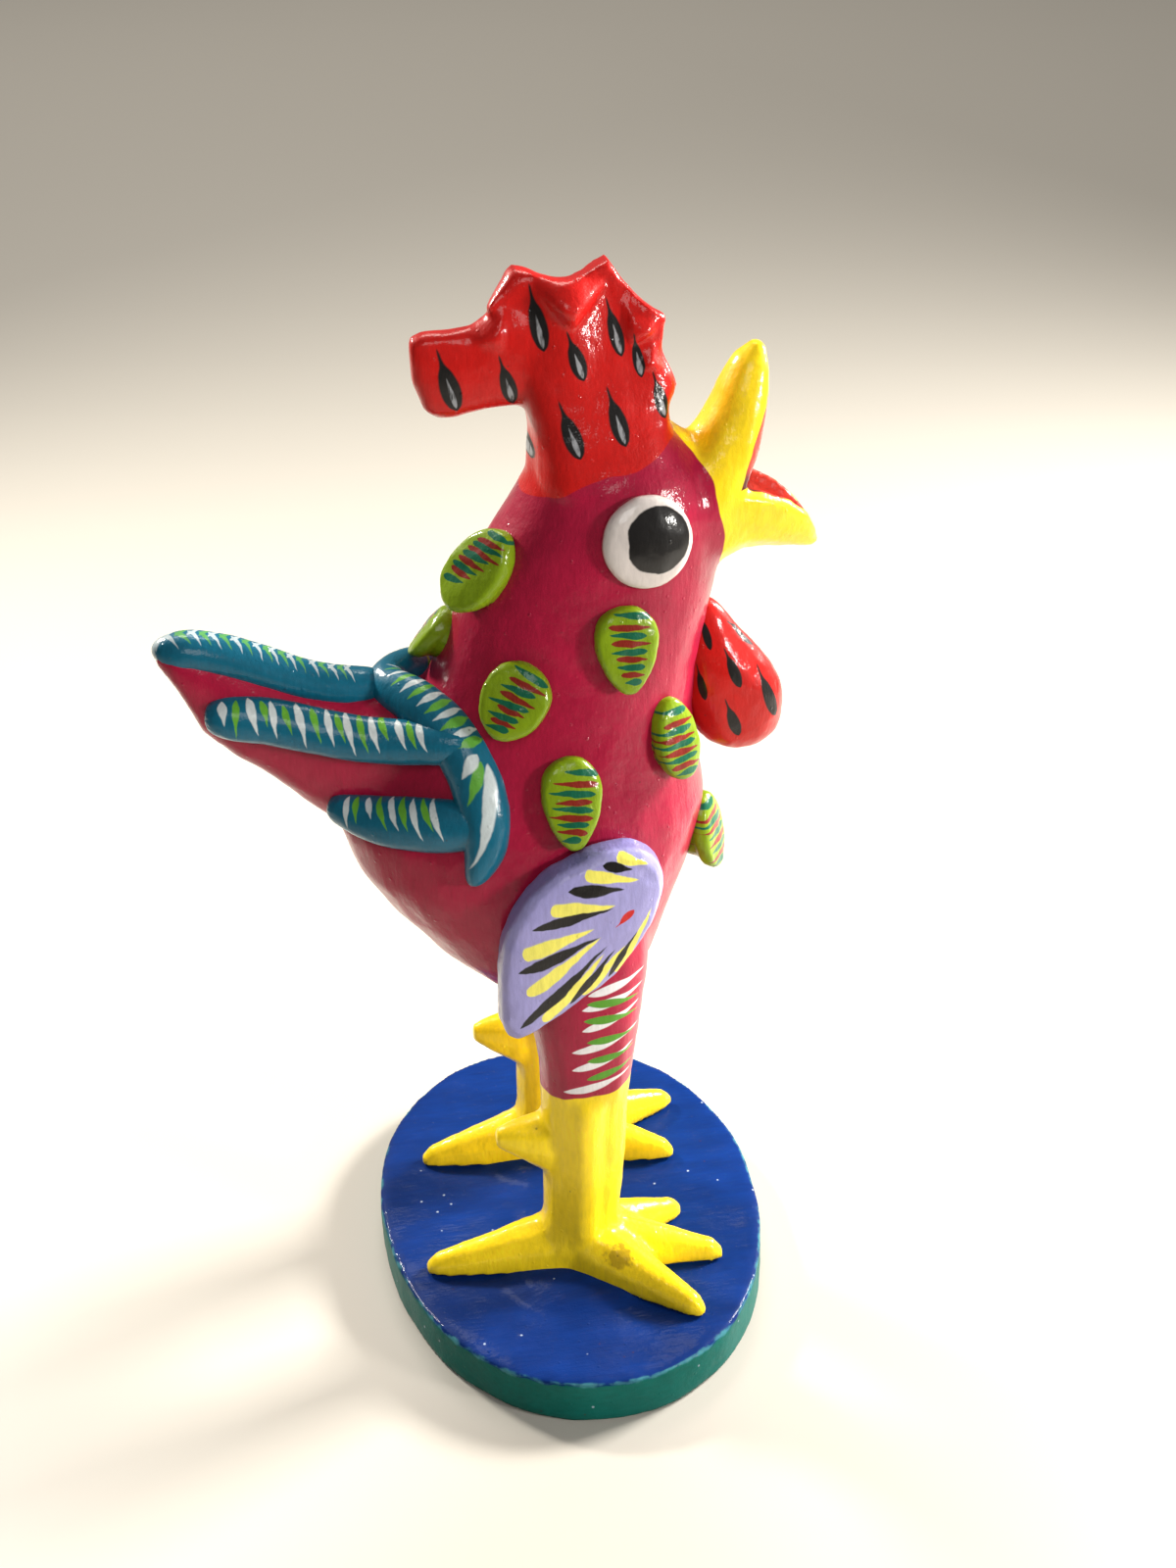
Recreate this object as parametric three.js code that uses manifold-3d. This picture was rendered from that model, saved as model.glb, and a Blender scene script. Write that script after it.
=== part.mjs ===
// A papier-mache rooster on an oval plinth: the figure is one modelled body, and the wings,
// eyes, wattle, feather pads and tail rolls are pieces of their own laid on it.
// Millimetres. +X is the way the bird faces, +Y its left, +Z up. The origin is the middle of
// the plinth's underside.
import * as THREE from "three";
import { mergeVertices } from "three/addons/utils/BufferGeometryUtils.js";
import Module from "manifold-3d";

// The gap that a laid-on piece keeps to what carries it, and the length under which an edge is a
// sliver left by a join.
const GAP = 0.3;
const WELD = 0.01;

// The oval plinth, long across the bird.
const PLINTH_WIDTH = 63.6;
const PLINTH_LENGTH = 87.6;
const PLINTH_THICKNESS = 8;
const PLINTH_EDGE_ROUNDING = 1.2;
const PLINTH_SQUARENESS = 2.12;
// How much broader the plinth is at the bird's left end than in the middle.
const PLINTH_EGG = 0.045;
const PLINTH_FOOT_CHAMFER = 0.4;
const PLINTH_SIDES = 40;

// The trunk, from the crotch to the crown: height, back, front and half-width of each section.
const TRUNK_SECTIONS = [
  { z: 53, back: -4, front: 9, half: 8 },
  { z: 56.5, back: -9, front: 11.5, half: 13 },
  { z: 61, back: -15, front: 13.3, half: 16.5 },
  { z: 67, back: -21.5, front: 15.6, half: 19 },
  { z: 74, back: -27.5, front: 18.2, half: 20.3 },
  { z: 81, back: -32, front: 20.8, half: 20.5 },
  { z: 88, back: -34, front: 22.5, half: 19.5 },
  { z: 95, back: -30, front: 21.5, half: 18 },
  { z: 102, back: -24.5, front: 20.5, half: 16.5 },
  { z: 109, back: -19, front: 21, half: 15 },
  { z: 116, back: -16, front: 22.5, half: 14 },
  { z: 123, back: -13.3, front: 24, half: 13.4 },
  { z: 129, back: -10.2, front: 25, half: 13 },
  { z: 135, back: -6.2, front: 25, half: 12.4 },
  { z: 140, back: -3.2, front: 22.5, half: 11 },
  { z: 145, back: -3.2, front: 19, half: 8.5 },
];
const TRUNK_SIDES = 28;
const TRUNK_SQUARENESS = 2.15;

// The flat tail, from inside the trunk to its tip: lower and upper edge and half-thickness.
const TAIL_SECTIONS = [
  { x: -14, low: 86, high: 108, half: 12 },
  { x: -24, low: 85, high: 108.5, half: 9.5 },
  { x: -31, low: 86, high: 108.8, half: 7.5 },
  { x: -37, low: 90.5, high: 110.5, half: 6 },
  { x: -43, low: 96.5, high: 113.5, half: 5 },
  { x: -48, low: 100.2, high: 116, half: 4.5 },
  { x: -52, low: 104.5, high: 117.6, half: 4 },
  { x: -55, low: 111.5, high: 118.2, half: 3.2 },
  { x: -57.5, low: 115.8, high: 118.3, half: 1.5 },
];
const SLAB_SIDES = 16;
const SLAB_SQUARENESS = 2.8;

// The legs stand side by side. Each section gives the height, the middle and the half-sizes.
const LEG_SPREAD = 14.5;
const LEG_SECTIONS = [
  { z: 76, x: -1, inset: 5, long: 13, wide: 9 },
  { z: 66, x: 0.4, inset: 2.2, long: 11, wide: 9 },
  { z: 57, x: 0.9, inset: 0.3, long: 8.8, wide: 8 },
  { z: 49, x: 0.9, inset: 0, long: 7.6, wide: 7.2 },
  { z: 42, x: 0.6, inset: 0, long: 7, wide: 6.6 },
  { z: 30, x: 0.2, inset: 0, long: 6.6, wide: 6.2 },
  { z: 19, x: -0.4, inset: 0, long: 6.2, wide: 5.8 },
  { z: 13, x: -0.8, inset: 0, long: 7.2, wide: 5.6 },
  { z: 7, x: -1, inset: 0, long: 8, wide: 4.8 },
];
const LEG_SIDES = 16;
const LEG_SQUARENESS = 2.2;

// The spur, a blunt thorn behind each leg.
const SPUR_REACH = 13.8;
const SPUR_ROOT_HEIGHT = 31.5;
const SPUR_RISE = 3;
const SPUR_SECTIONS = [
  { along: 0, radius: 5.5 },
  { along: 0.45, radius: 5.5 },
  { along: 0.8, radius: 3.2 },
  { along: 1, radius: 1.5 },
];
const SPUR_FLATNESS = 0.8;
const SPUR_SIDES = 10;

// The toes of each foot: direction from straight ahead towards the outside, and length.
const TOES = {
  right: [
    { turn: 47, length: 25 },
    { turn: 12, length: 23.6 },
    { turn: -22, length: 20 },
    { turn: 182, length: 25.2 },
  ],
  left: [
    { turn: 50, length: 23.5 },
    { turn: 19, length: 24.8 },
    { turn: -19, length: 22 },
    { turn: 181, length: 22.8 },
  ],
};
// Where the toes meet, behind the leg's middle, and the sizes of a toe at its root and tip.
const FOOT_SETBACK = 1;
const TOE_ROOT_HEIGHT = 11;
const TOE_TIP_HEIGHT = 3;
const TOE_BREADTH = 1.45;
const TOE_MIDDLE = 0.3;
// How far along each of a toe's sections is, and how far it has sunk from the root to the tip.
const TOE_STEPS = [
  { along: 0, sunk: 0 },
  { along: 0.32, sunk: 0.32 },
  { along: 0.64, sunk: 0.64 },
  { along: 0.93, sunk: 0.93 },
  { along: 1, sunk: 1.15 },
];
const TOE_SIDES = 10;

// The beak: middle line, half-width and half-thickness of each mandible's sections.
const UPPER_BEAK = [
  { x: 20.5, z: 133, half: 9, thick: 7 },
  { x: 23.5, z: 138, half: 8, thick: 6 },
  { x: 26, z: 142.5, half: 6.8, thick: 5.2 },
  { x: 27.5, z: 146.5, half: 5.6, thick: 4.6 },
  { x: 28.6, z: 150.5, half: 4.4, thick: 4 },
  { x: 29.5, z: 153.8, half: 3.2, thick: 3 },
  { x: 30.4, z: 156.3, half: 1.3, thick: 1.2 },
];
const LOWER_BEAK = [
  { x: 19, z: 131.5, half: 9, thick: 8 },
  { x: 25.5, z: 134.2, half: 7.6, thick: 8.6 },
  { x: 29.3, z: 133.5, half: 6.8, thick: 7.7 },
  { x: 32.7, z: 132.1, half: 5.7, thick: 7 },
  { x: 35.8, z: 129.9, half: 4.3, thick: 5.5 },
  { x: 37.9, z: 127.6, half: 2.7, thick: 3.4 },
  { x: 39.3, z: 125.6, half: 1, thick: 1 },
];
// The hollow of the lower mandible: what is scooped out of its flat face.
const MOUTH = [
  { x: 25.4, z: 138, half: 3, thick: 2 },
  { x: 28, z: 137, half: 5, thick: 4.2 },
  { x: 31.2, z: 135.8, half: 4.6, thick: 4.2 },
  { x: 34.4, z: 133.8, half: 3.4, thick: 3.4 },
  { x: 37, z: 131.4, half: 1.8, thick: 2.2 },
];
const MOUTH_SIDES = 8;
const BEAK_SIDES = 14;
const BEAK_SQUARENESS = 2.3;
// How much of a mandible's half-thickness its flat inner face keeps.
const UPPER_INNER_SHARE = 0.6;
const LOWER_INNER_SHARE = 0.35;

// The comb rises from the crown and thins to a scalloped rim: heights of its points and how
// far the rim sags between them, then the crown's length and half-thickness, level by level.
const COMB_FOOT = 139;
const COMB_POINTS = [
  { x: -18.6, z: 160.8 },
  { x: -3.8, z: 169.3 },
  { x: 8.8, z: 169.6 },
  { x: 17.4, z: 161.4 },
];
const COMB_SAGS = [3.6, 2.2, 1.6];
const COMB_LEVELS = [
  { rise: 0, back: -3, front: 18.6, half: 10.5 },
  { rise: 0.2, back: -3.1, front: 18.3, half: 8.8 },
  { rise: 0.42, back: -4.2, front: 17.3, half: 6.2 },
  { rise: 0.58, back: -5.5, front: 18.9, half: 4.6 },
  { rise: 0.78, back: -7, front: 16.5, half: 3.3 },
  { rise: 0.92, back: -8.3, front: 17, half: 2.6 },
  { rise: 1, back: -9, front: 17.6, half: 1.9 },
];
const COMB_CRIMP = 1.6;
const COMB_STEPS = 14;

// The comb's rear lobe, from inside the crown to its blunt end.
const LOBE_SECTIONS = [
  { x: 0, low: 150, high: 163, half: 3.6 },
  { x: -6, low: 149.8, high: 164, half: 3.3 },
  { x: -10, low: 149.3, high: 161.3, half: 3 },
  { x: -14.3, low: 148.4, high: 160.9, half: 2.8 },
  { x: -17, low: 149.4, high: 160.9, half: 2.6 },
  { x: -18.7, low: 154, high: 160.2, half: 1.8 },
];

// The wattle, one drop-shaped lobe under the beak: its level sections.
const WATTLE_SECTIONS = [
  { z: 94, x: 28.3, long: 2.6, half: 1.6 },
  { z: 95.8, x: 28, long: 5.2, half: 3.4 },
  { z: 99, x: 27.6, long: 7.2, half: 4.6 },
  { z: 103, x: 27, long: 7.7, half: 5 },
  { z: 107, x: 25.6, long: 7, half: 4.7 },
  { z: 111, x: 23.9, long: 5.3, half: 3.8 },
  { z: 114.8, x: 22.8, long: 3.1, half: 2.6 },
  { z: 118.3, x: 22, long: 1.5, half: 1.3 },
];
const WATTLE_SIDES = 18;
const WATTLE_SQUARENESS = 2.1;

// The eyes, low domes on the sides of the head.
const EYE = {
  x: 11.5, y: 11.8, z: 132.8, facing: [0.14, 0.98, 0.12],
  turn: 0, length: 13.6, width: 13.4, height: 2, round: 0,
};

// The wings, thick egg-shaped pads that hug the flanks. The broad end points up and forwards.
const WING = {
  x: -1.4, y: 20, z: 74.2, facing: [0.1, 0.99, -0.03],
  turn: -36, length: 35.5, width: 20, height: 4, round: 0.08,
};

// The feather pads. Each has its middle on the skin, the way it faces, its turn from upright,
// its size, how much broader its upper end is, and how far its lower end stands off. The two on the
// back of the neck and on the breast stand off more than the others.
const FEATHER_HEIGHT = 1.8;
const FEATHER_LIFT = 1.8;
const FEATHERS = {
  cheek: {
    x: 8, y: 13.4, z: 117.6, facing: [0.11, 0.99, 0.05],
    turn: -2, length: 13, width: 9.1, round: 0.26,
  },
  shoulder: {
    x: -7.8, y: 13.3, z: 110.8, facing: [-0.35, 0.9, 0.25],
    turn: -24, length: 11.8, width: 10, round: 0.1,
  },
  chest: {
    x: 14.9, y: 11.7, z: 101.8, facing: [0.55, 0.82, 0.1],
    turn: 4, length: 13, width: 7.9, round: -0.12,
  },
  flank: {
    x: -1, y: 17.6, z: 96, facing: [0.06, 0.98, 0.19],
    turn: -3, length: 14, width: 8.8, round: 0.24,
  },
  nape: {
    x: -10.6, y: 5, z: 127.5, facing: [-0.75, 0.55, 0.4],
    turn: -26, length: 14, width: 9.8, round: -0.1,
  },
};
const SINGLE_FEATHERS = {
  feather_hackle: {
    x: -15.6, y: 1.6, z: 115, facing: [-0.93, 0.25, 0.28],
    turn: 0, length: 9, width: 8.2, round: 0, lift: 3.6,
  },
  feather_breast: {
    x: 20.8, y: -3.4, z: 81.3, facing: [0.86, -0.5, -0.1],
    turn: 0, length: 12.6, width: 8.6, round: -0.14, lift: 3.4,
  },
};
const PAD_SIDES = 13;
// A pad's shells from its sunk root to its face: share of its outline and of its height.
const PAD_ROOT_DEPTH = 2.5;
const PAD_SHELLS = [
  { share: 1, rise: 0.45 },
  { share: 0.94, rise: 0.8 },
  { share: 0.78, rise: 0.96 },
  { share: 0.45, rise: 1 },
];

// The tail rolls: the route of the middle line on the tail's skin, and half the height of each place.
const ROLL_THICKNESS = 3.1;
const TOP_ROLL = [
  { x: -56, y: 0, z: 117.2, half: 2.4 },
  { x: -52.5, y: 0, z: 117.3, half: 3.7 },
  { x: -47, y: 0, z: 115.6, half: 3.9 },
  { x: -41, y: 0, z: 112.6, half: 3.9 },
  { x: -35, y: 0, z: 109.8, half: 3.9 },
  { x: -29, y: 0, z: 108.6, half: 3.7 },
];
const MIDDLE_ROLL = [
  { x: -51.6, y: 3.6, z: 108.2, half: 2.2 },
  { x: -48.5, y: 4.4, z: 108.2, half: 3.6 },
  { x: -43.5, y: 5, z: 107.6, half: 3.6 },
  { x: -36.5, y: 6.2, z: 105.6, half: 3.5 },
  { x: -28, y: 8.2, z: 103.8, half: 3.5 },
  { x: -20, y: 10.6, z: 104, half: 3.3 },
];
const LOWER_ROLL = [
  { x: -35, y: 5.5, z: 92.6, half: 1.8 },
  { x: -32.5, y: 7.4, z: 92.4, half: 2.8 },
  { x: -28.5, y: 10, z: 91.8, half: 3.7 },
  { x: -23.5, y: 13.4, z: 92.4, half: 4.3 },
  { x: -17, y: 16.4, z: 93, half: 4 },
];
// The band, a roll laid over the tail's root with its two pointed ends hanging down the sides.
const BAND_THICKNESS = 3.2;
const BAND = [
  { x: -26.6, y: 0, z: 109, half: 3 },
  { x: -23.8, y: 4.4, z: 109, half: 3.1 },
  { x: -20.4, y: 8.6, z: 107, half: 3.3 },
  { x: -17.2, y: 12.2, z: 103.6, half: 3.6 },
  { x: -15, y: 15, z: 99, half: 3.8 },
  { x: -13.8, y: 17.2, z: 94, half: 3.8 },
  { x: -13.8, y: 18.4, z: 90, half: 3.4 },
  { x: -15, y: 19, z: 86.6, half: 2.2 },
  { x: -16.2, y: 19, z: 84.6, half: 0.8 },
];
const ROLL_SIDES = 10;
// How flat a roll is where it is narrowest, and the half-height at which it has its full thickness.
const ROLL_LEAST = 0.35;
const ROLL_FULL_HALF = 4.5;
// A roll on a side faces away from a line this far in front of it and below it.
const ROLL_BACK = { ahead: 4, below: 5 };

const wasm = await Module();
wasm.setup();

// A closed mesh as a solid that can be joined and cut.
function solid(geometry) {
  const bare = new THREE.BufferGeometry().setAttribute("position", geometry.getAttribute("position"));
  bare.setIndex(geometry.index);
  const merged = mergeVertices(bare, 1e-4);
  return new wasm.Manifold(
    new wasm.Mesh({
      numProp: 3,
      vertProperties: new Float32Array(merged.attributes.position.array),
      triVerts: new Uint32Array(merged.index.array),
    }),
  );
}

// The joins leave a few slivers: each edge shorter than WELD is drawn together to one corner,
// wherever that keeps the skin whole.
function welded(points, faces) {
  const place = (i) => at(points[3 * i], points[3 * i + 1], points[3 * i + 2]);
  const around = new Map();
  const add = (face) => face.forEach((i) => around.set(i, (around.get(i) ?? new Set()).add(face)));
  faces.forEach(add);
  const neighbours = (i) => new Set([...around.get(i)].flat().filter((j) => j !== i));
  for (const face of faces) {
    for (let k = 0; k < 3; k += 1) {
      const [kept, gone] = [face[k], face[(k + 1) % 3]];
      if (kept === gone || !around.get(gone)?.has(face)) continue;
      if (place(kept).distanceTo(place(gone)) > WELD) continue;
      const shared = [...neighbours(kept)].filter((j) => neighbours(gone).has(j));
      if (shared.length !== 2) continue;
      for (const moved of around.get(gone)) {
        if (moved.includes(kept)) {
          moved.forEach((j) => around.get(j).delete(moved));
          moved.length = 0;
        } else {
          moved[moved.indexOf(gone)] = kept;
          around.get(kept).add(moved);
        }
      }
      around.delete(gone);
    }
  }
  return faces.filter((face) => face.length === 3).flat();
}

// A solid turned back into a named mesh.
function meshOf(name, body, material) {
  const made = body.getMesh();
  const points = new Float32Array(made.numVert * 3);
  for (let i = 0; i < made.numVert; i += 1) {
    points.set(made.vertProperties.subarray(i * made.numProp, i * made.numProp + 3), i * 3);
  }
  const faces = [];
  for (let i = 0; i < made.triVerts.length; i += 3) faces.push([...made.triVerts.subarray(i, i + 3)]);
  const geometry = new THREE.BufferGeometry().setAttribute("position", new THREE.BufferAttribute(points, 3));
  geometry.setIndex(welded(points, faces));
  geometry.computeVertexNormals();
  const mesh = new THREE.Mesh(geometry, material);
  mesh.name = name;
  return mesh;
}

// A skin over rings of equal counts. Each ring turns anticlockwise seen from the last ring back
// to the first. Fans close its ends, or a zip of crossing strips closes a long narrow last ring.
function loft(rings, zipped = false) {
  const sides = rings[0].length;
  const points = rings.flat();
  const middle = (ring) => ring.reduce((sum, p) => sum.add(p), new THREE.Vector3()).divideScalar(sides);
  const first = points.push(middle(rings[0])) - 1;
  const last = points.push(middle(rings[rings.length - 1])) - 1;
  const faces = [];
  for (let i = 0; i < sides; i += 1) {
    const next = (i + 1) % sides;
    for (let r = 0; r + 1 < rings.length; r += 1) {
      const low = r * sides;
      const high = low + sides;
      faces.push(low + i, low + next, high + next, low + i, high + next, high + i);
    }
    const top = (rings.length - 1) * sides;
    faces.push(first, next, i);
    if (!zipped) faces.push(last, top + i, top + next);
    else if (i + 1 < sides / 2) {
      const across = top + sides - 1 - i;
      faces.push(top + i, top + next, across, top + next, across - 1, across);
    }
  }
  if (zipped) points.pop();
  const geometry = new THREE.BufferGeometry().setFromPoints(points);
  geometry.setIndex(faces);
  return solid(geometry);
}

// A ring round a middle point: a power of 2 gives an ellipse, and more squares it off.
function ring(middle, across, up, sides, power = 2) {
  const points = [];
  for (let i = 0; i < sides; i += 1) {
    const turn = (2 * Math.PI * (i + 0.5)) / sides;
    const c = Math.cos(turn);
    const s = Math.sin(turn);
    const reach = (Math.abs(c) ** power + Math.abs(s) ** power) ** (-1 / power);
    points.push(middle.clone().addScaledVector(across, reach * c).addScaledVector(up, reach * s));
  }
  return points;
}

const at = (x, y, z) => new THREE.Vector3(x, y, z);

function trunk(extra) {
  return loft(
    TRUNK_SECTIONS.map(({ z, back, front, half }) =>
      ring(
        at((back + front) / 2, 0, z),
        at((front - back) / 2 + extra, 0, 0),
        at(0, half + extra, 0),
        TRUNK_SIDES,
        TRUNK_SQUARENESS,
      ),
    ),
  );
}

// An upright slab that runs backwards from the first section, with rounded edges.
function slab(sections, extra) {
  return loft(
    sections.map(({ x, low, high, half }) =>
      ring(
        at(x, 0, (low + high) / 2),
        at(0, 0, (high - low) / 2 + extra),
        at(0, half + extra, 0),
        SLAB_SIDES,
        SLAB_SQUARENESS,
      ),
    ),
  );
}

// Height of the comb's rim over a place along the bird.
function combRim(x) {
  const last = COMB_POINTS.length - 2;
  const i = Math.min(Math.max(COMB_POINTS.findIndex((point) => point.x > x) - 1, 0), last);
  const [from, to] = [COMB_POINTS[i], COMB_POINTS[x > COMB_POINTS[last + 1].x ? last + 1 : i + 1]];
  const along = to.x > from.x ? THREE.MathUtils.clamp((x - from.x) / (to.x - from.x), 0, 1) : 1;
  return from.z + (to.z - from.z) * along - 4 * COMB_SAGS[i] * along * (1 - along);
}

// The rim leans to the bird's left at its points and to its right between them.
function combLean(x) {
  const pitch = COMB_POINTS[2].x - COMB_POINTS[1].x;
  return COMB_CRIMP * Math.cos((2 * Math.PI * (x - COMB_POINTS[1].x)) / pitch);
}

function comb() {
  const rings = COMB_LEVELS.map(({ rise, back, front, half }) => {
    const points = [];
    for (const side of [-1, 1]) {
      for (let i = 0; i < COMB_STEPS; i += 1) {
        const along = (i + 0.5) / COMB_STEPS;
        const x = side < 0 ? back + (front - back) * along : front - (front - back) * along;
        const bulge = (1 - Math.abs(2 * along - 1) ** 5) ** 0.5;
        const lean = combLean(x) * rise ** 2;
        points.push(at(x, side * half * bulge + lean, COMB_FOOT + rise * (combRim(x) - COMB_FOOT)));
      }
    }
    return points;
  });
  return loft(rings, true).add(slab(LOBE_SECTIONS, 0));
}

function leg(side, extra) {
  return loft(
    LEG_SECTIONS.toReversed().map(({ z, x, inset, long, wide }) =>
      ring(
        at(x, side * (LEG_SPREAD - inset), z),
        at(long + extra, 0, 0),
        at(0, wide + extra, 0),
        LEG_SIDES,
        LEG_SQUARENESS,
      ),
    ),
  );
}

function spur(side) {
  return loft(
    SPUR_SECTIONS.map(({ along, radius }) =>
      ring(
        at(-SPUR_REACH * along, side * LEG_SPREAD, SPUR_ROOT_HEIGHT + SPUR_RISE * along),
        at(0, 0, radius),
        at(0, SPUR_FLATNESS * radius, 0),
        SPUR_SIDES,
      ),
    ),
  );
}

// A toe lies on the plinth, highest at its root, with a blunt tip.
function toe(side, { turn, length }) {
  const angle = THREE.MathUtils.degToRad(turn) * side;
  const ahead = at(Math.cos(angle), Math.sin(angle), 0);
  const across = at(-Math.sin(angle), Math.cos(angle), 0);
  const rings = TOE_STEPS.map(({ along, sunk }) => {
    const height = TOE_ROOT_HEIGHT + (TOE_TIP_HEIGHT - TOE_ROOT_HEIGHT) * sunk;
    const middle = ahead.clone().multiplyScalar(length * along);
    middle.add(at(-FOOT_SETBACK, side * LEG_SPREAD, PLINTH_THICKNESS + TOE_MIDDLE * height));
    const half = across.clone().multiplyScalar(0.5 * (1 - TOE_MIDDLE) * TOE_BREADTH * height);
    return ring(middle, half, at(0, 0, (1 - TOE_MIDDLE) * height), TOE_SIDES);
  });
  return loft(rings);
}

// A mandible is flat on the side that faces the other one.
function mandible(sections, inside, share, extra) {
  return loft(
    sections.map(({ x, z, half, thick }, i) => {
      const before = sections[Math.max(i - 1, 0)];
      const after = sections[Math.min(i + 1, sections.length - 1)];
      const along = at(after.x - before.x, 0, after.z - before.z).normalize();
      const up = at(-along.z, 0, along.x);
      const points = ring(
        at(x, 0, z),
        at(0, half + extra, 0),
        up.clone().multiplyScalar(thick + extra),
        BEAK_SIDES,
        BEAK_SQUARENESS,
      );
      const flat = share * thick + extra;
      points.forEach((p) => {
        const out = p.clone().sub(at(x, 0, z)).dot(up) * inside;
        if (out > flat) p.addScaledVector(up, (flat - out) * inside);
      });
      return points;
    }),
  );
}

function mouth() {
  return loft(MOUTH.map(({ x, z, half, thick }) => ring(at(x, 0, z), at(0, half, 0), at(0, 0, thick), MOUTH_SIDES)));
}

function figure(extra) {
  let body = trunk(extra).add(slab(TAIL_SECTIONS, extra));
  body = body.add(mandible(UPPER_BEAK, -1, UPPER_INNER_SHARE, extra));
  body = body.add(mandible(LOWER_BEAK, 1, LOWER_INNER_SHARE, extra));
  for (const side of [-1, 1]) body = body.add(leg(side, extra));
  if (extra) return body;
  body = body.subtract(mouth());
  for (const side of [-1, 1]) {
    body = body.add(spur(side));
    for (const one of side < 0 ? TOES.right : TOES.left) body = body.add(toe(side, one));
  }
  return body.add(comb());
}

function plinth() {
  const r = PLINTH_EDGE_ROUNDING;
  const levels = [
    { z: 0, in: PLINTH_FOOT_CHAMFER },
    { z: PLINTH_FOOT_CHAMFER, in: 0 },
    { z: PLINTH_THICKNESS - r, in: 0 },
    { z: PLINTH_THICKNESS - 0.3 * r, in: 0.3 * r },
    { z: PLINTH_THICKNESS, in: r },
  ];
  return loft(
    levels.map((level) =>
      ring(
        at(0, 0, level.z),
        at(PLINTH_WIDTH / 2 - level.in, 0, 0),
        at(0, PLINTH_LENGTH / 2 - level.in, 0),
        PLINTH_SIDES,
        PLINTH_SQUARENESS,
      ).map((point) => point.setX(point.x * (1 + (2 * PLINTH_EGG * point.y) / PLINTH_LENGTH))),
    ),
  );
}

// What the feet are cut off by, so that they stand on the plinth's top.
function floorCut() {
  const [long, wide] = [at(PLINTH_LENGTH, 0, 0), at(0, PLINTH_LENGTH, 0)];
  return loft([-PLINTH_THICKNESS, PLINTH_THICKNESS + GAP].map((z) => ring(at(0, 0, z), long, wide, 4)));
}

const skin = figure(GAP);

function wattle() {
  return loft(
    WATTLE_SECTIONS.map(({ z, x, long, half }) =>
      ring(at(x, 0, z), at(long, 0, 0), at(0, half, 0), WATTLE_SIDES, WATTLE_SQUARENESS),
    ),
  ).subtract(skin);
}

// A pad with an egg-shaped outline and rounded shoulders, sunk into the skin that then cuts its
// back. The side is -1 on the bird's right and 1 on its left.
function pad(size, side, lift = 0) {
  const middle = at(size.x, side * size.y, size.z);
  const out = at(size.facing[0], side * size.facing[1], size.facing[2]).normalize();
  const up = at(0, 0, 1).addScaledVector(out, -out.z).normalize();
  const across = new THREE.Vector3().crossVectors(up, out);
  const turn = THREE.MathUtils.degToRad((size.turn ?? 0) * side);
  const [c, s] = [Math.cos(turn), Math.sin(turn)];
  const long = up.clone().multiplyScalar(c).addScaledVector(across, s);
  const wide = across.clone().multiplyScalar(c).addScaledVector(up, -s);
  const height = size.height ?? FEATHER_HEIGHT;
  const root = { share: 1, depth: -PAD_ROOT_DEPTH, lifted: 0 };
  const shells = PAD_SHELLS.map(({ share, rise }) => ({ share, depth: rise * height, lifted: lift }));
  const rings = [root, ...shells].map(({ share, depth, lifted }) => {
    const points = [];
    for (let i = 0; i < PAD_SIDES; i += 1) {
      const angle = (2 * Math.PI * (i + 0.5)) / PAD_SIDES;
      const along = 0.5 * Math.cos(angle);
      const breadth = 0.5 * Math.sin(angle) * (1 + 2 * size.round * along);
      const point = middle.clone().addScaledVector(long, share * size.length * along);
      point.addScaledVector(wide, -share * size.width * breadth);
      points.push(point.addScaledVector(out, depth + lifted * (0.5 - share * along)));
    }
    return points;
  });
  return loft(rings);
}

// A rolled strip along a route on the body's skin, with this many rings for each place of the route.
function roll(route, thickness, extra, perPlace = 2) {
  const line = new THREE.CatmullRomCurve3(route.map(({ x, y, z }) => at(x, y, z)), false, "centripetal");
  const steps = perPlace * (route.length - 1);
  const rings = [];
  for (let i = 0; i <= steps; i += 1) {
    const place = line.getPoint(i / steps);
    const along = line.getTangent(i / steps);
    const [from, to] = [route[Math.floor(i / perPlace)], route[Math.ceil(i / perPlace)]];
    const half = (from.half + to.half) / 2;
    const onSide = Math.abs(place.y) > WELD;
    const out = onSide ? at(-ROLL_BACK.ahead, place.y, ROLL_BACK.below) : at(0, 0, 1);
    const wide = new THREE.Vector3().crossVectors(along, out).normalize();
    out.crossVectors(wide, along).normalize();
    const thin = thickness * Math.min(1, ROLL_LEAST + half / ROLL_FULL_HALF);
    rings.push(ring(place, out.multiplyScalar(thin + extra), wide.multiplyScalar(half + extra), ROLL_SIDES));
  }
  return loft(rings);
}

const mirrored = (route) => route.map((place) => ({ ...place, y: -place.y }));

// The band's route runs over the top from the tip on the right to the tip on the left.
const bandRoute = [...mirrored(BAND).toReversed(), ...BAND.slice(1)];
const band = (extra) => roll(bandRoute, BAND_THICKNESS, extra, 1);
const covered = skin.add(band(GAP));

const paint = (color, roughness) => new THREE.MeshStandardMaterial({ color, roughness, metalness: 0 });
const navy = paint(0x143a8c, 0.35);
const magenta = paint(0xc01a55, 0.32);
const red = paint(0xd01818, 0.3);
const teal = paint(0x0f5f7a, 0.3);
const lilac = paint(0x8f86cf, 0.4);
const lime = paint(0x9cc21e, 0.35);
const white = paint(0xe8e2dc, 0.3);

const bird = new THREE.Group();
const lay = (name, body, material) => bird.add(meshOf(name, body, material));

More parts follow.
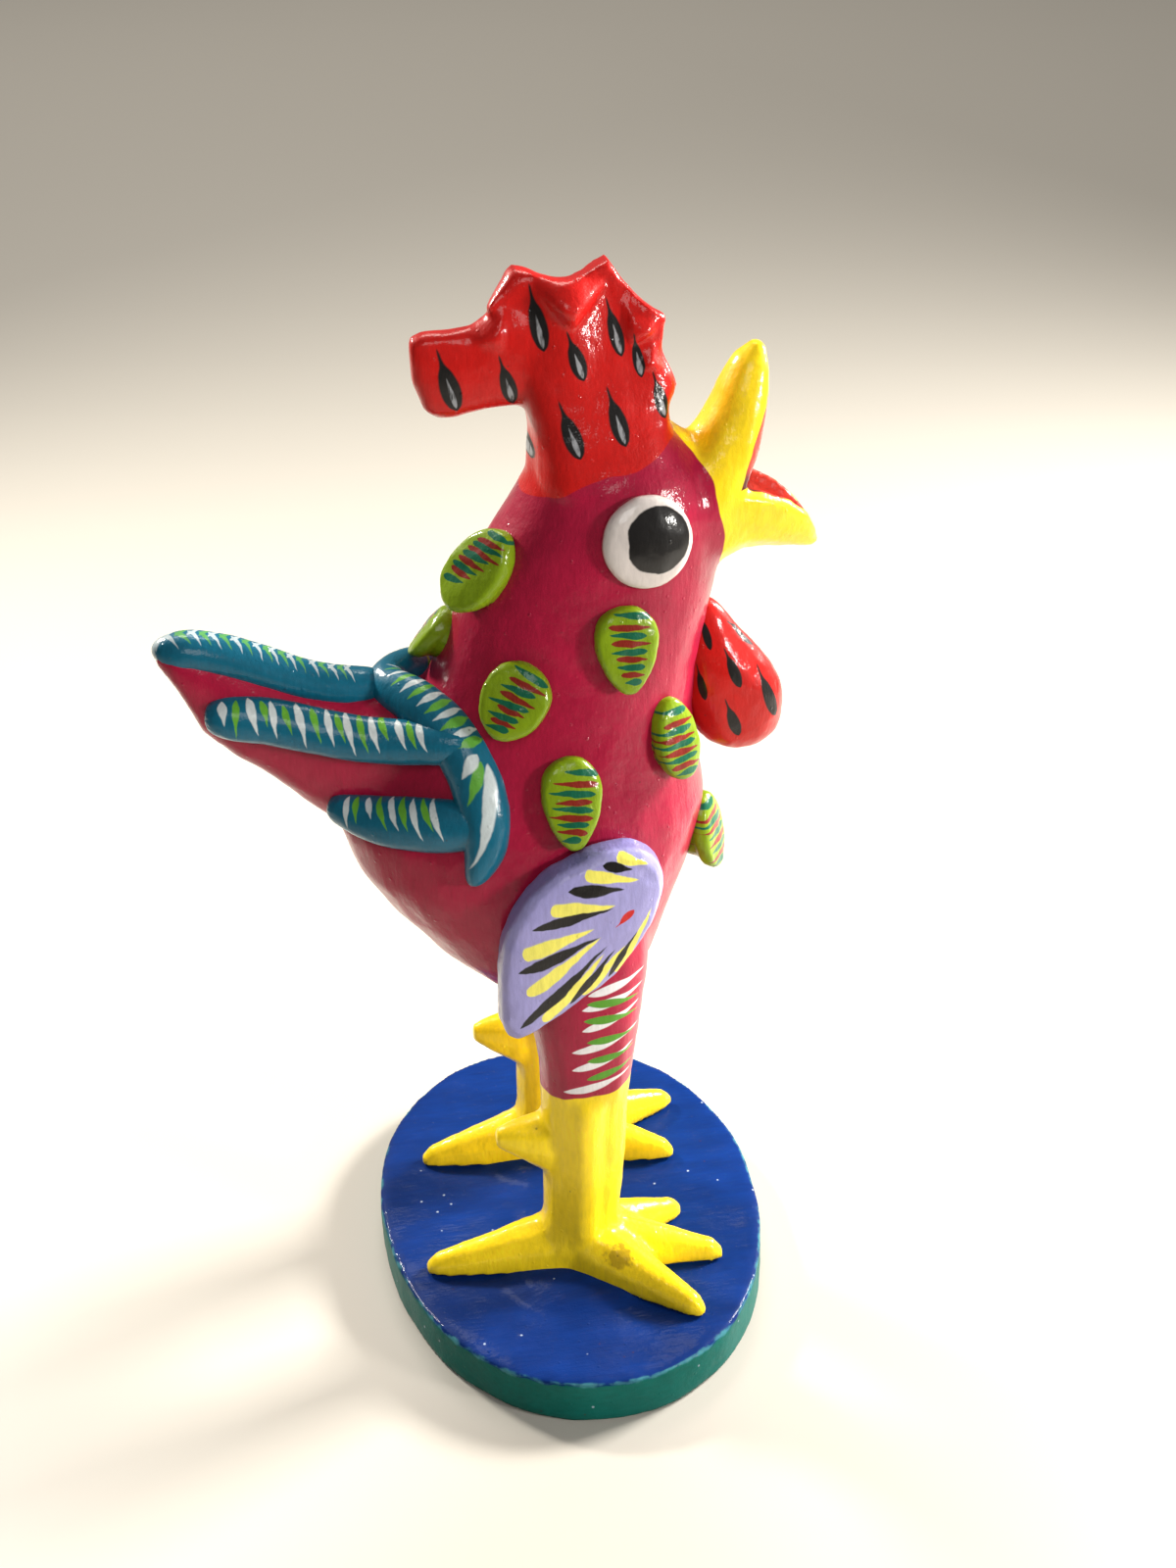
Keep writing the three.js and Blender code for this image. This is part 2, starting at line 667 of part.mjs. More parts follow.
lay("base", plinth(), navy);
lay("rooster", figure(0).subtract(floorCut()), magenta);
lay("wattle", wattle(), red);
for (const [side, word] of [
  [-1, "right"],
  [1, "left"],
]) {
  const here = side < 0 ? mirrored : (route) => route;
  lay(`eye_${word}`, pad(EYE, side).subtract(skin), white);
  lay(`wing_${word}`, pad(WING, side).subtract(skin), lilac);
  lay(`tail_roll_middle_${word}`, roll(here(MIDDLE_ROLL), ROLL_THICKNESS, 0).subtract(covered), teal);
  lay(`tail_roll_lower_${word}`, roll(here(LOWER_ROLL), ROLL_THICKNESS, 0).subtract(covered), teal);
  for (const [name, size] of Object.entries(FEATHERS)) {
    if (name === "nape" && side > 0) continue;
    lay(`feather_${name}_${word}`, pad(size, side, FEATHER_LIFT).subtract(covered), lime);
  }
}
for (const [name, size] of Object.entries(SINGLE_FEATHERS)) {
  lay(name, pad(size, 1, size.lift).subtract(covered), lime);
}
lay("tail_roll_top", roll(TOP_ROLL, ROLL_THICKNESS, 0).subtract(covered), teal);
lay("tail_band", band(0).subtract(skin), teal);

export default bird;
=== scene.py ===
# A papier-mache rooster on an oval base, painted in bright colours under gloss varnish.
# It faces +X, its left side is +Y, and +Z is up. Sizes below are in millimetres.
import math

import bpy
from mathutils import Matrix, Vector


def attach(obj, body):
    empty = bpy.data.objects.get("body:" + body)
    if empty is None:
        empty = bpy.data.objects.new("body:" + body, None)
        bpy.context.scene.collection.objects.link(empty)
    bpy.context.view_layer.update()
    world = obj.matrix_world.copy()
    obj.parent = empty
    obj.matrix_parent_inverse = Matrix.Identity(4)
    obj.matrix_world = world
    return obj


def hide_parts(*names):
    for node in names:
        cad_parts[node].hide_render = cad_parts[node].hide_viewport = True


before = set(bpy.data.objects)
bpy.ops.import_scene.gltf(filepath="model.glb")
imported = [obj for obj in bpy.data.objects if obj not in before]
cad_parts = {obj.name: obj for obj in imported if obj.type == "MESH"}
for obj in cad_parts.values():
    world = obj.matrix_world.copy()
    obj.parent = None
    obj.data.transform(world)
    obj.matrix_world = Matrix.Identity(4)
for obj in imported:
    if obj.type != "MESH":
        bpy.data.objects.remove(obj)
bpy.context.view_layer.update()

# The setting: a wide pale table top in a room with a large window at the right, smaller ones at the
# left behind and the right in front, and weak light all round. The camera looks down at the bird's
# right side.
MM = 0.001
CAMERA_PLACE = Vector((-42.936, -278.513, 245.208)) * MM
CAMERA_TURN = math.radians(9.693)
CAMERA_DIP = math.radians(29)
CAMERA_ROLL = math.radians(-1.2)
FOCAL_LENGTH = 48.375
SENSOR_WIDTH = 36
NEAREST_SEEN = 0.01
ROOM_COLOUR = (1, 0.97, 0.93, 1)
ROOM_STRENGTH = 0.12
TABLE_BREADTH = 6
TABLE_PALE = (0.47, 0.445, 0.4, 1)
TABLE_ROUGHNESS = 0.45

ahead = Vector((
    math.sin(CAMERA_TURN) * math.cos(CAMERA_DIP),
    math.cos(CAMERA_TURN) * math.cos(CAMERA_DIP),
    -math.sin(CAMERA_DIP),
))
level = Vector((math.cos(CAMERA_TURN), -math.sin(CAMERA_TURN), 0))
upright = level.cross(ahead)
rightward = level * math.cos(CAMERA_ROLL) + upright * math.sin(CAMERA_ROLL)
upward = upright * math.cos(CAMERA_ROLL) - level * math.sin(CAMERA_ROLL)
view = Matrix((rightward, upward, -ahead)).transposed().to_4x4()
view.translation = CAMERA_PLACE
camera = bpy.data.objects.new("camera", bpy.data.cameras.new("camera"))
camera.data.lens = FOCAL_LENGTH
camera.data.sensor_width = SENSOR_WIDTH
camera.data.clip_start = NEAREST_SEEN
camera.matrix_world = view
bpy.context.scene.collection.objects.link(camera)
bpy.context.scene.camera = camera
bpy.context.scene.view_settings.view_transform = "Standard"


def lamp(name, place, aim, size, power, colour):
    """A soft square lamp turned to its aim. Its size is in millimetres and its power in watts."""
    light = bpy.data.lights.new(name, "AREA")
    light.size = size * MM
    light.energy = power
    light.color = colour
    thing = bpy.data.objects.new(name, light)
    thing.location = Vector(place) * MM
    thing.rotation_euler = (Vector(aim) - Vector(place)).to_track_quat("-Z", "Y").to_euler()
    bpy.context.scene.collection.objects.link(thing)


lamp("window_right", (420, 130, 290), (0, 0, 80), 130, 7.4, (1, 0.96, 0.9))
lamp("window_behind", (-250, 300, 330), (0, 0, 110), 60, 2.8, (1, 0.95, 0.86))
lamp("window_front", (400, -330, 210), (0, 0, 100), 70, 1.8, (1, 0.97, 0.92))
lamp("room_front", (-60, -420, 480), (0, 0, 70), 240, 0.8, (1, 0.98, 0.96))
lamp("far_wall", (0, 1050, 1500), (0, 1500, 0), 800, 19, (1, 0.95, 0.87))
world = bpy.data.worlds.new("room")
world.use_nodes = True
background = world.node_tree.nodes["Background"]
background.inputs["Color"].default_value = ROOM_COLOUR
background.inputs["Strength"].default_value = ROOM_STRENGTH
bpy.context.scene.world = world


def deselect():
    """Leaves edit mode and selects nothing."""
    if bpy.context.object and bpy.context.object.mode != "OBJECT":
        bpy.ops.object.mode_set(mode="OBJECT")
    bpy.ops.object.select_all(action="DESELECT")


deselect()
bpy.ops.mesh.primitive_plane_add(size=TABLE_BREADTH)
table = bpy.context.object
table.name = "table"
table_paint = bpy.data.materials.new("table_paint")
table_paint.use_nodes = True
table_look = table_paint.node_tree.nodes["Principled BSDF"]
table_look.inputs["Base Color"].default_value = TABLE_PALE
table_look.inputs["Roughness"].default_value = TABLE_ROUGHNESS
table.data.materials.append(table_paint)

# The base: an oval board, sawn by hand and broader at the bird's left end, with soft edges. Its
# top is royal blue and its edge sea green, and the paste under each foot makes a low mound on it.
BASE_TOP = 8
BASE_HALF = (31.8, 43.8)
BASE_TAPER = 0.09
BASE_ROUNDING = 0.6
BASE_SQUARENESS = 2.12
BASE_GRAIN = 0.48
GRAIN_LOSS = 0.15
FOOT_MOUNDS = ((-1, -17), (-1, 16))
MOUND_SIZE = (13, 12, 1.9)
MOUND_MARGIN = 0.35
BLUE = (0.002, 0.026, 0.17, 1)
DEEP_BLUE = (0.0015, 0.014, 0.09, 1)
SEA_GREEN = (0.004, 0.11, 0.09, 1)
WORN_EDGE_AND_HIGHLIGHT = (0.06, 0.25, 0.26, 1)
PALE_SPECK = (0.4, 0.48, 0.6, 1)
DIRT = (0.05, 0.02, 0.02, 1)
PAINT_SHEEN = 0.12
BASE_SHEEN = 0.05
VARNISH_BENDING = 1.42
VARNISH_ROUGHNESS = 0.08
RELIEF_DEPTH = 0.16
# How far below its top the board's blue ends, and how much that border wanders up and down.
BLUE_DEPTH = 1.35
BLUE_WANDER = 1.2


def pick(piece):
    """Selects one piece alone and makes it the active one."""
    deselect()
    bpy.context.view_layer.objects.active = piece
    piece.select_set(True)


def join_to(piece):
    """Joins what is selected to a piece."""
    piece.select_set(True)
    bpy.context.view_layer.objects.active = piece
    bpy.ops.object.join()
    deselect()


def face_outwards():
    """Turns all faces of the piece in edit mode outwards, and leaves edit mode."""
    bpy.ops.mesh.select_all(action="SELECT")
    bpy.ops.mesh.normals_make_consistent(inside=False)
    bpy.ops.object.mode_set(mode="OBJECT")


def extrude(rise):
    """Draws the selected faces up by this many millimetres."""
    bpy.ops.mesh.extrude_region_move(TRANSFORM_OT_translate={"value": (0, 0, rise * MM)})


def apply(piece, kind, **settings):
    """Adds a modifier to a piece and applies it."""
    pick(piece)
    modifier = piece.modifiers.new(kind.lower(), kind)
    for name, value in settings.items():
        setattr(modifier, name, value)
    bpy.ops.object.modifier_apply(modifier=modifier.name)


def knead(piece, size, depth):
    """Presses soft lumps of this size and depth into a piece, as fingers leave in paste."""
    lumps = bpy.data.textures.new(piece.name + "_lumps", "CLOUDS")
    lumps.noise_scale = size * MM
    apply(piece, "DISPLACE", texture=lumps, texture_coords="LOCAL", strength=depth * MM, mid_level=0.5)


def weigh(piece, name, weight_of):
    """A vertex group whose weights are worked out from each point's place in millimetres."""
    group = piece.vertex_groups.new(name=name)
    for vertex in piece.data.vertices:
        group.add([vertex.index], weight_of(vertex.co / MM), "REPLACE")
    return group.name


def settle(piece):
    """Puts a piece's place into its mesh and shades it smooth."""
    pick(piece)
    bpy.ops.object.transform_apply(location=True, rotation=True, scale=True)
    bpy.ops.object.shade_smooth()


def stand_for(piece, node, material):
    """The piece is shown in the CAD node's place, in this material."""
    piece.data.materials.clear()
    piece.data.materials.append(material)
    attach(piece, "root")
    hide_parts(node)


def node(tree, kind, inputs=None, **settings):
    """Adds a shader node. An input is given a value or another node's output."""
    made = tree.nodes.new("ShaderNode" + kind)
    for name, value in settings.items():
        setattr(made, name, value)
    for name, value in (inputs or {}).items():
        if isinstance(value, bpy.types.NodeSocket):
            tree.links.new(value, made.inputs[name])
        else:
            made.inputs[name].default_value = value
    return made


def calc(tree, operation, *values):
    """The output of a Math node."""
    return node(tree, "Math", dict(enumerate(values)), operation=operation).outputs[0]


def vector_calc(tree, operation, *values):
    """The vector output of a Vector Math node."""
    return node(tree, "VectorMath", dict(enumerate(values)), operation=operation).outputs["Vector"]


def scaled(tree, vector, scale):
    """A vector or a colour made larger or smaller."""
    return node(tree, "VectorMath", {0: vector, "Scale": scale}, operation="SCALE").outputs["Vector"]


def faces_along(tree, axis):
    """How far the surface faces along an axis, from -1 to 1."""
    return node(tree, "SeparateXYZ", {0: node(tree, "NewGeometry").outputs["Normal"]}).outputs[axis]


def mask(tree, value, softness=0.12):
    """1 where the value is above zero, and 0 where it is below, with a soft edge in millimetres."""
    limits = {"Value": value, "From Min": -softness, "From Max": softness}
    return node(tree, "MapRange", limits, interpolation_type="SMOOTHSTEP").outputs["Result"]


def layer(tree, amount, under, over):
    """Lays one colour over another."""
    made = tree.nodes.new("ShaderNodeMix")
    made.data_type = "RGBA"
    for index, value in ((0, amount), (6, under), (7, over)):
        if isinstance(value, bpy.types.NodeSocket):
            tree.links.new(value, made.inputs[index])
        else:
            made.inputs[index].default_value = value
    return made.outputs[2]


def noise(tree, place, size, detail=2.0, stretch=(1, 1, 1)):
    """Noise with lumps of this size in millimetres, drawn out by the stretch along each axis."""
    scale = tuple(1 / (size * s) for s in stretch)
    moved = node(tree, "Mapping", {"Vector": place, "Scale": scale}).outputs["Vector"]
    return node(tree, "TexNoise", {"Vector": moved, "Scale": 1.0, "Detail": detail}).outputs["Fac"]


def flecks(tree, place, closeness, size, softness=0.02):
    """Small round flecks strewn over a piece, the closer together the higher the closeness."""
    away = node(tree, "TexVoronoi", {"Vector": place, "Scale": closeness}, feature="F1").outputs["Distance"]
    return mask(tree, calc(tree, "SUBTRACT", size, away), softness)


def varnish(name, roughness=0.42, stretch=(1, 1, 5), coat=0.6, relief=0.9):
    """A material with brush marks, lumps and specks under gloss varnish, and the place of each point
    in millimetres. Its colour is set by finish_paint."""
    material = bpy.data.materials.new(name)
    material.use_nodes = True
    tree = material.node_tree
    shader = tree.nodes["Principled BSDF"]
    shader.inputs["Specular IOR Level"].default_value = PAINT_SHEEN
    shader.inputs["Coat Weight"].default_value = coat
    shader.inputs["Coat IOR"].default_value = VARNISH_BENDING
    shader.inputs["Coat Roughness"].default_value = VARNISH_ROUGHNESS
    coordinates = node(tree, "TexCoord").outputs["Object"]
    place = scaled(tree, coordinates, 1 / MM)
    brush = noise(tree, place, 0.55, 3.0, stretch)
    lumps = noise(tree, place, 2.6, 2.0)
    specks = flecks(tree, place, 0.45, 0.085, 0.06)
    height = calc(tree, "MULTIPLY_ADD", lumps, 0.8, calc(tree, "MULTIPLY", brush, 0.42))
    height = calc(tree, "MULTIPLY_ADD", specks, 0.45, height)
    height = calc(tree, "MULTIPLY_ADD", noise(tree, place, 0.28, 1.0), 0.16, height)
    bump = node(tree, "Bump", {"Height": height, "Strength": relief, "Distance": RELIEF_DEPTH * MM})
    tree.links.new(bump.outputs["Normal"], shader.inputs["Normal"])
    tree.links.new(bump.outputs["Normal"], shader.inputs["Coat Normal"])
    rough = calc(tree, "MULTIPLY_ADD", noise(tree, place, 4.5), 0.22, roughness - 0.11)
    tree.links.new(rough, shader.inputs["Roughness"])
    return material, tree, place, brush


def finish_paint(tree, place, brush, colour):
    """Gives a paint its streaks, thin and thick places and fine dirt, and joins it to the shader."""
    broad = noise(tree, place, 9.0, 3.0)
    tone = calc(tree, "MULTIPLY_ADD", broad, 0.5, 0.75)
    tone = calc(tree, "MULTIPLY", tone, calc(tree, "MULTIPLY_ADD", brush, 0.36, 0.82))
    toned = scaled(tree, colour, tone)
    spots = calc(tree, "MULTIPLY", flecks(tree, place, 0.21, 0.035), 0.55)
    shaded = layer(tree, spots, toned, DIRT)
    tree.links.new(shaded, tree.nodes["Principled BSDF"].inputs["Base Color"])


def on_mound(point):
    """The mounds are smoothed, and the flat board isn't."""
    return min(1, max(0, point.z - BASE_TOP + MOUND_MARGIN) * 2)


deselect()
bpy.ops.mesh.primitive_circle_add(vertices=120, radius=1, fill_type="NGON", location=(0, 0, BASE_TOP * MM))
board = bpy.context.object
board.name = "painted_base"
for vertex in board.data.vertices:
    for i in (0, 1):
        share = abs(vertex.co[i]) ** (2 / BASE_SQUARENESS)
        vertex.co[i] = math.copysign(share * (BASE_HALF[i] + GRAIN_LOSS) * MM, vertex.co[i])
settle(board)
bpy.ops.object.mode_set(mode="EDIT")
bpy.ops.mesh.select_all(action="SELECT")
extrude(-BASE_TOP)
face_outwards()
apply(board, "SIMPLE_DEFORM", deform_method="TAPER", deform_axis="Y", factor=BASE_TAPER, lock_z=True)
apply(board, "BEVEL", width=BASE_ROUNDING * MM, segments=2, limit_method="ANGLE")
deselect()
for x, y in FOOT_MOUNDS:
    place = (x * MM, y * MM, BASE_TOP * MM)
    bpy.ops.mesh.primitive_uv_sphere_add(segments=32, ring_count=16, radius=MM, location=place)
    bpy.context.object.scale = MOUND_SIZE
    bpy.ops.object.transform_apply(location=True, rotation=True, scale=True)
    join_to(board)
apply(board, "REMESH", mode="VOXEL", voxel_size=BASE_GRAIN * MM)
apply(board, "SMOOTH", factor=0.5, iterations=2)
apply(board, "SMOOTH", factor=0.5, iterations=60, vertex_group=weigh(board, "mounds", on_mound))
knead(board, 11, 0.7)
for vertex in board.data.vertices:
    vertex.co.z = max(vertex.co.z, 0)
settle(board)

base_paint, tree, place, brush = varnish("base_paint", 0.5, (6, 1, 1), coat=0.12, relief=0.7)
tree.nodes["Principled BSDF"].inputs["Specular IOR Level"].default_value = BASE_SHEEN
height = node(tree, "SeparateXYZ", {0: place}).outputs["Z"]
sweep = noise(tree, place, 3.0, 4.0, (7, 1, 1))
blue = layer(tree, sweep, DEEP_BLUE, BLUE)
brink = calc(tree, "MULTIPLY_ADD", noise(tree, place, 3.0), BLUE_WANDER, BASE_TOP - BLUE_DEPTH)
colour = layer(tree, mask(tree, calc(tree, "SUBTRACT", height, brink), 0.15), SEA_GREEN, blue)
# The blue is worn off in chips along its border, but not on the flat top. The pale teal of the chips is
# partly worn paint and partly a painted highlight along the rim.
from_brink = calc(tree, "ABSOLUTE", calc(tree, "SUBTRACT", height, calc(tree, "ADD", brink, 0.2)))
chips = calc(tree, "MULTIPLY_ADD", noise(tree, place, 2.2, 4.0), 1.7, -0.78)
wear_and_highlight = mask(tree, calc(tree, "SUBTRACT", chips, from_brink), 0.25)
at_rim = mask(tree, calc(tree, "SUBTRACT", 0.9, faces_along(tree, "Z")), 0.06)
wear_and_highlight = calc(tree, "MULTIPLY", calc(tree, "MULTIPLY", wear_and_highlight, at_rim), 0.7)
colour = layer(tree, wear_and_highlight, colour, WORN_EDGE_AND_HIGHLIGHT)
pale = calc(tree, "MULTIPLY", flecks(tree, place, 0.27, 0.055), 0.7)
colour = layer(tree, pale, colour, PALE_SPECK)
finish_paint(tree, place, brush, colour)
stand_for(board, "base", base_paint)

# The figure: one body of paper pulp and paste, with the legs, toes, beak, tail and comb worked up
# from it and smoothed by hand. It is painted when it has dried, and varnished last.
BODY_PINK = (0.36, 0.006, 0.038, 1)
COMB_RED = (0.54, 0.008, 0.006, 1)
BEAK_YELLOW = (0.97, 0.7, 0.012, 1)
MOUTH_RED = (0.6, 0.05, 0.03, 1)
# Near-black red for the depths of the mouth: painted shade.
PAINTED_THROAT_SHADE = (0.07, 0.004, 0.004, 1)
RUB_BROWN = (0.2, 0.1, 0.012, 1)
RUBBED = (4, -23.3, 14.6)
SEED_BLACK = (0.01, 0.009, 0.009, 1)
SEED_GREY = (0.3, 0.31, 0.33, 1)
STROKE_WHITE = (0.8, 0.78, 0.78, 1)
STROKE_GREEN = (0.09, 0.3, 0.02, 1)
SKIN_GRAIN = 0.56
# The legs below, the comb above and the beak and the tail's tip past these places are smoothed less.
LEGS_BELOW = 44
COMB_ABOVE = 150
BEAK_PAST = (27, 119)
TAIL_TIP = -50
# The comb's edge, across and up. It is rolled into a thick rim, and below each notch the paste is
# pressed in to a crease: each dent has two corners at the rim, and its deepest point.
COMB_EDGE = (
    (-21, 161),
    (-11.8, 161),
    (-7.8, 163.5),
    (-4, 168.6),
    (0.6, 167.5),
    (3.5, 167.3),
    (8.6, 169),
    (12.4, 163.5),
    (16.3, 161.8),
    (15, 156.1),
    (17.7, 153.5),
    (16.2, 148),
)
COMB_DENTS = (
    ((-2.4, 167.6), (9.2, 167.6), (2.9, 161.6), 1.9),
    ((9.9, 166.2), (16, 160.4), (11.4, 158.6), 1.4),
    ((15.2, 159.6), (16.8, 154), (12.6, 155.2), 1),
    ((-12.4, 160.4), (-5, 166.4), (-6.6, 159), 0.7),
)
COMB_FOOT = 147
COMB_FRONT = 20.6
RIM_BREADTH = 2.1
RIM_RISE = 0.32
DENT_EDGE = 0.08
# Each leg is whittled: a blunt ridge runs down its outer side between two flatter faces. The turns
# and widths are degrees round the leg, and the rise and depth are shares of its radius.
LEG_MIDDLE = (0, 14.5)
LEG_ENDS = (13, 45)
LEG_LEAN = 0.03
RIDGE_TURN = -5
RIDGE_WIDTH = 17
RIDGE_RISE = 0.17
FLAT_TURN = 38
FLAT_WIDTH = 18
FLAT_DEPTH = 0.05
# The hollow of the lower beak: across and up, and its half-width and half-depth.
HOLLOW = (
    (25.4, 138, 3, 2),
    (28, 137, 5, 4.2),
    (31.2, 135.8, 4.6, 4.2),
    (34.4, 133.8, 3.4, 3.4),
    (37, 131.4, 1.8, 2.2),
)
# Where the colours meet: the comb's foot, across and up, the edges of the upper mouth and of the
# beak, up and across, and the heights of the chin, the mouth's corner and the shanks' top.
CREST_LINE = (
    (-20, 136), (-4.2, 137.8), (1.6, 139.9), (6.6, 141.5), (11.9, 142.8), (14.6, 144.1), (20, 148.4),
)
UPPER_MOUTH = (
    (120, 19), (136, 26.2), (140, 27.6), (143.5, 28.9), (147, 30.2), (151, 31.4), (157, 32.4),
)
BEAK_LINE = (
    (110, 26), (121, 24.8), (126.8, 23.6), (131, 23.7), (135.5, 22.9),
    (138.8, 22.1), (141, 20.9), (143.8, 18.8), (147, 16), (152, 14),
)
CHIN = 123.8
MOUTH_CORNER = 137
# Deeper into the mouth than this, across and up, the red is darkened to near black as painted shade.
THROAT_SHADE_LIMIT = (29.5, 139.5)
SHANK_TOP = 45.2
THIGH_OUTER = 15.5

figure = bpy.data.objects.new("painted_rooster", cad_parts["rooster"].data.copy())
bpy.context.scene.collection.objects.link(figure)
apply(figure, "WELD", merge_threshold=0.005 * MM)
apply(figure, "REMESH", mode="VOXEL", voxel_size=SKIN_GRAIN * MM)


def softness(point):
    """The whittled legs, thin edges and tips are smoothed less than the broad body."""
    at_beak = point.x > BEAK_PAST[0] and point.z > BEAK_PAST[1]
    if point.z < LEGS_BELOW or at_beak or point.x < TAIL_TIP:
        return 0.05
    return 0.22 if point.z > COMB_ABOVE else min(1, 0.09 + 0.06 * (point.z - LEGS_BELOW))


apply(figure, "SMOOTH", factor=0.5, iterations=34, vertex_group=weigh(figure, "softness", softness))


def to_edge(x, z):
    """How far a point of the comb lies from its edge."""
    nearest = 99
    for (x0, z0), (x1, z1) in zip(COMB_EDGE, COMB_EDGE[1:]):
        run = (x1 - x0, z1 - z0)
        along = ((x - x0) * run[0] + (z - z0) * run[1]) / (run[0] ** 2 + run[1] ** 2)
        along = min(max(along, 0), 1)
        nearest = min(nearest, math.hypot(x - x0 - along * run[0], z - z0 - along * run[1]))
    return nearest


def dent(x, z, one, other, lowest, depth):
    """How deep a dent is at a point: nothing at the rim, and the full depth along its crease."""
    area = (other[0] - one[0]) * (lowest[1] - one[1]) - (lowest[0] - one[0]) * (other[1] - one[1])
    to_one = (other[0] - x) * (lowest[1] - z) - (lowest[0] - x) * (other[1] - z)
    to_other = (lowest[0] - x) * (one[1] - z) - (one[0] - x) * (lowest[1] - z)
    shares = (to_one / area, to_other / area, 1 - (to_one + to_other) / area)
    if min(shares) < -DENT_EDGE:
        return 0
    inwards = min(1, (shares[2] + DENT_EDGE) * 1.6)
    return depth * inwards * min(1, (min(shares[:2]) + DENT_EDGE) * 6)


for vertex in figure.data.vertices:
    x, y, z = vertex.co / MM
    if z > COMB_FOOT and x < COMB_FRONT:
        edge = to_edge(x, z) / RIM_BREADTH
        move = RIM_RISE * max(0, 1 - edge * edge) - sum(dent(x, z, *one) for one in COMB_DENTS)
        vertex.co.y += math.copysign(min(1, abs(y)) * move * MM, y)

for vertex in figure.data.vertices:
    x, y, z = vertex.co / MM
    if LEG_ENDS[0] < z < LEG_ENDS[1] and x > -8:
        off_x = x - LEG_MIDDLE[0] - (z - 30) * LEG_LEAN
        off_y = abs(y) - LEG_MIDDLE[1]
        turn = math.degrees(math.atan2(off_x, off_y)) - RIDGE_TURN
        ridge = RIDGE_RISE * math.exp(-((turn / RIDGE_WIDTH) ** 2))
        ridge -= FLAT_DEPTH * math.exp(-(((abs(turn) - FLAT_TURN) / FLAT_WIDTH) ** 2))
        ridge *= min(1, (z - LEG_ENDS[0]) / 4, (LEG_ENDS[1] - z) / 3)
        vertex.co.x += ridge * off_x * MM
        vertex.co.y += ridge * math.copysign(off_y, y) * MM
apply(figure, "SMOOTH", factor=0.5, iterations=2)
knead(figure, 9, 0.45)
knead(figure, 2.6, 0.12)
settle(figure)

# The inside of the mouth is marked on the mesh, above 0 in the hollow of the lower beak.
mouth_marks = figure.data.attributes.new("mouth", "FLOAT", "POINT")
for vertex, mark in zip(figure.data.vertices, mouth_marks.data):
    x, y, z = vertex.co / MM
    mark.value = -2
    if x > 23 and 125 < z < 145:
        for (x0, z0, half0, deep0), (x1, z1, half1, deep1) in zip(HOLLOW, HOLLOW[1:]):
            run = Vector((x1 - x0, z1 - z0))
            off = Vector((x - x0, z - z0))
            along = min(max(off.dot(run) / run.length_squared, 0), 1)
            half, deep = half0 + (half1 - half0) * along, deep0 + (deep1 - deep0) * along
            away = (off - run * along).length
            mark.value = max(mark.value, 1.4 - (y / half) ** 2 - (away / deep) ** 2)


def unsteady(tree, place, scale, detail, reach):
    """A place that sways by up to half this reach to each side, as an unsteady hand does."""
    sway = node(tree, "TexNoise", {"Vector": place, "Scale": scale, "Detail": detail}).outputs["Color"]
    sway = vector_calc(tree, "SUBTRACT", sway, (0.5, 0.5, 0.5))
    return vector_calc(tree, "MULTIPLY_ADD", sway, reach, place)


body_paint, tree, place, brush = varnish("body_paint")
hand = unsteady(tree, place, 0.2, 1.0, (1.4, 1.4, 1.4))
axes = node(tree, "SeparateXYZ", {0: hand})
x, y, z = axes.outputs["X"], axes.outputs["Y"], axes.outputs["Z"]


def line(tree, value, points):
    """Reads a line drawn through points at a value."""
    lows = [min(p[i] for p in points) for i in (0, 1)]
    highs = [max(p[i] for p in points) for i in (0, 1)]
    into = node(tree, "MapRange", {"Value": value, "From Min": lows[0], "From Max": highs[0]})
    curve = node(tree, "FloatCurve", {"Value": into.outputs["Result"]})
    spline = curve.mapping.curves[0]
    for k, point in enumerate(points):
        across = (point[0] - lows[0]) / (highs[0] - lows[0])
        height = (point[1] - lows[1]) / (highs[1] - lows[1])
        if k in (0, 1):
            spline.points[k].location = (across, height)
        else:
            spline.points.new(across, height)
    curve.mapping.update()
    out = {"Value": curve.outputs["Value"], "To Min": lows[1], "To Max": highs[1]}
    return node(tree, "MapRange", out).outputs["Result"]


beak_side = calc(tree, "SUBTRACT", x, line(tree, z, BEAK_LINE))
beak = calc(tree, "MINIMUM", beak_side, calc(tree, "SUBTRACT", z, CHIN))
colour = layer(tree, mask(tree, beak), BODY_PINK, BEAK_YELLOW)
under_roof = calc(tree, "SUBTRACT", calc(tree, "ADD", x, 0.45), line(tree, z, UPPER_MOUTH))
under_roof = calc(tree, "MINIMUM", under_roof, calc(tree, "SUBTRACT", z, MOUTH_CORNER))
hollow = node(tree, "Attribute", attribute_name="mouth").outputs["Fac"]
mouth = mask(tree, calc(tree, "MAXIMUM", hollow, calc(tree, "MINIMUM", under_roof, beak)), 0.15)
# Deep in the mouth towards the throat the red turns near black: painted shade in the hollow.
throat = calc(tree, "MINIMUM", calc(tree, "SUBTRACT", THROAT_SHADE_LIMIT[0], x), calc(tree, "SUBTRACT", THROAT_SHADE_LIMIT[1], z))
mouth_with_shade = layer(tree, mask(tree, throat, 1.5), MOUTH_RED, PAINTED_THROAT_SHADE)
colour = layer(tree, mouth, colour, mouth_with_shade)
crest = calc(tree, "SUBTRACT", z, line(tree, x, CREST_LINE))
crest = calc(tree, "MINIMUM", crest, calc(tree, "SUBTRACT", COMB_FRONT, x))
colour = layer(tree, mask(tree, crest), colour, COMB_RED)
shank = calc(tree, "SUBTRACT", calc(tree, "MULTIPLY_ADD", x, 0.1, SHANK_TOP), z)
colour = layer(tree, mask(tree, shank), colour, BEAK_YELLOW)


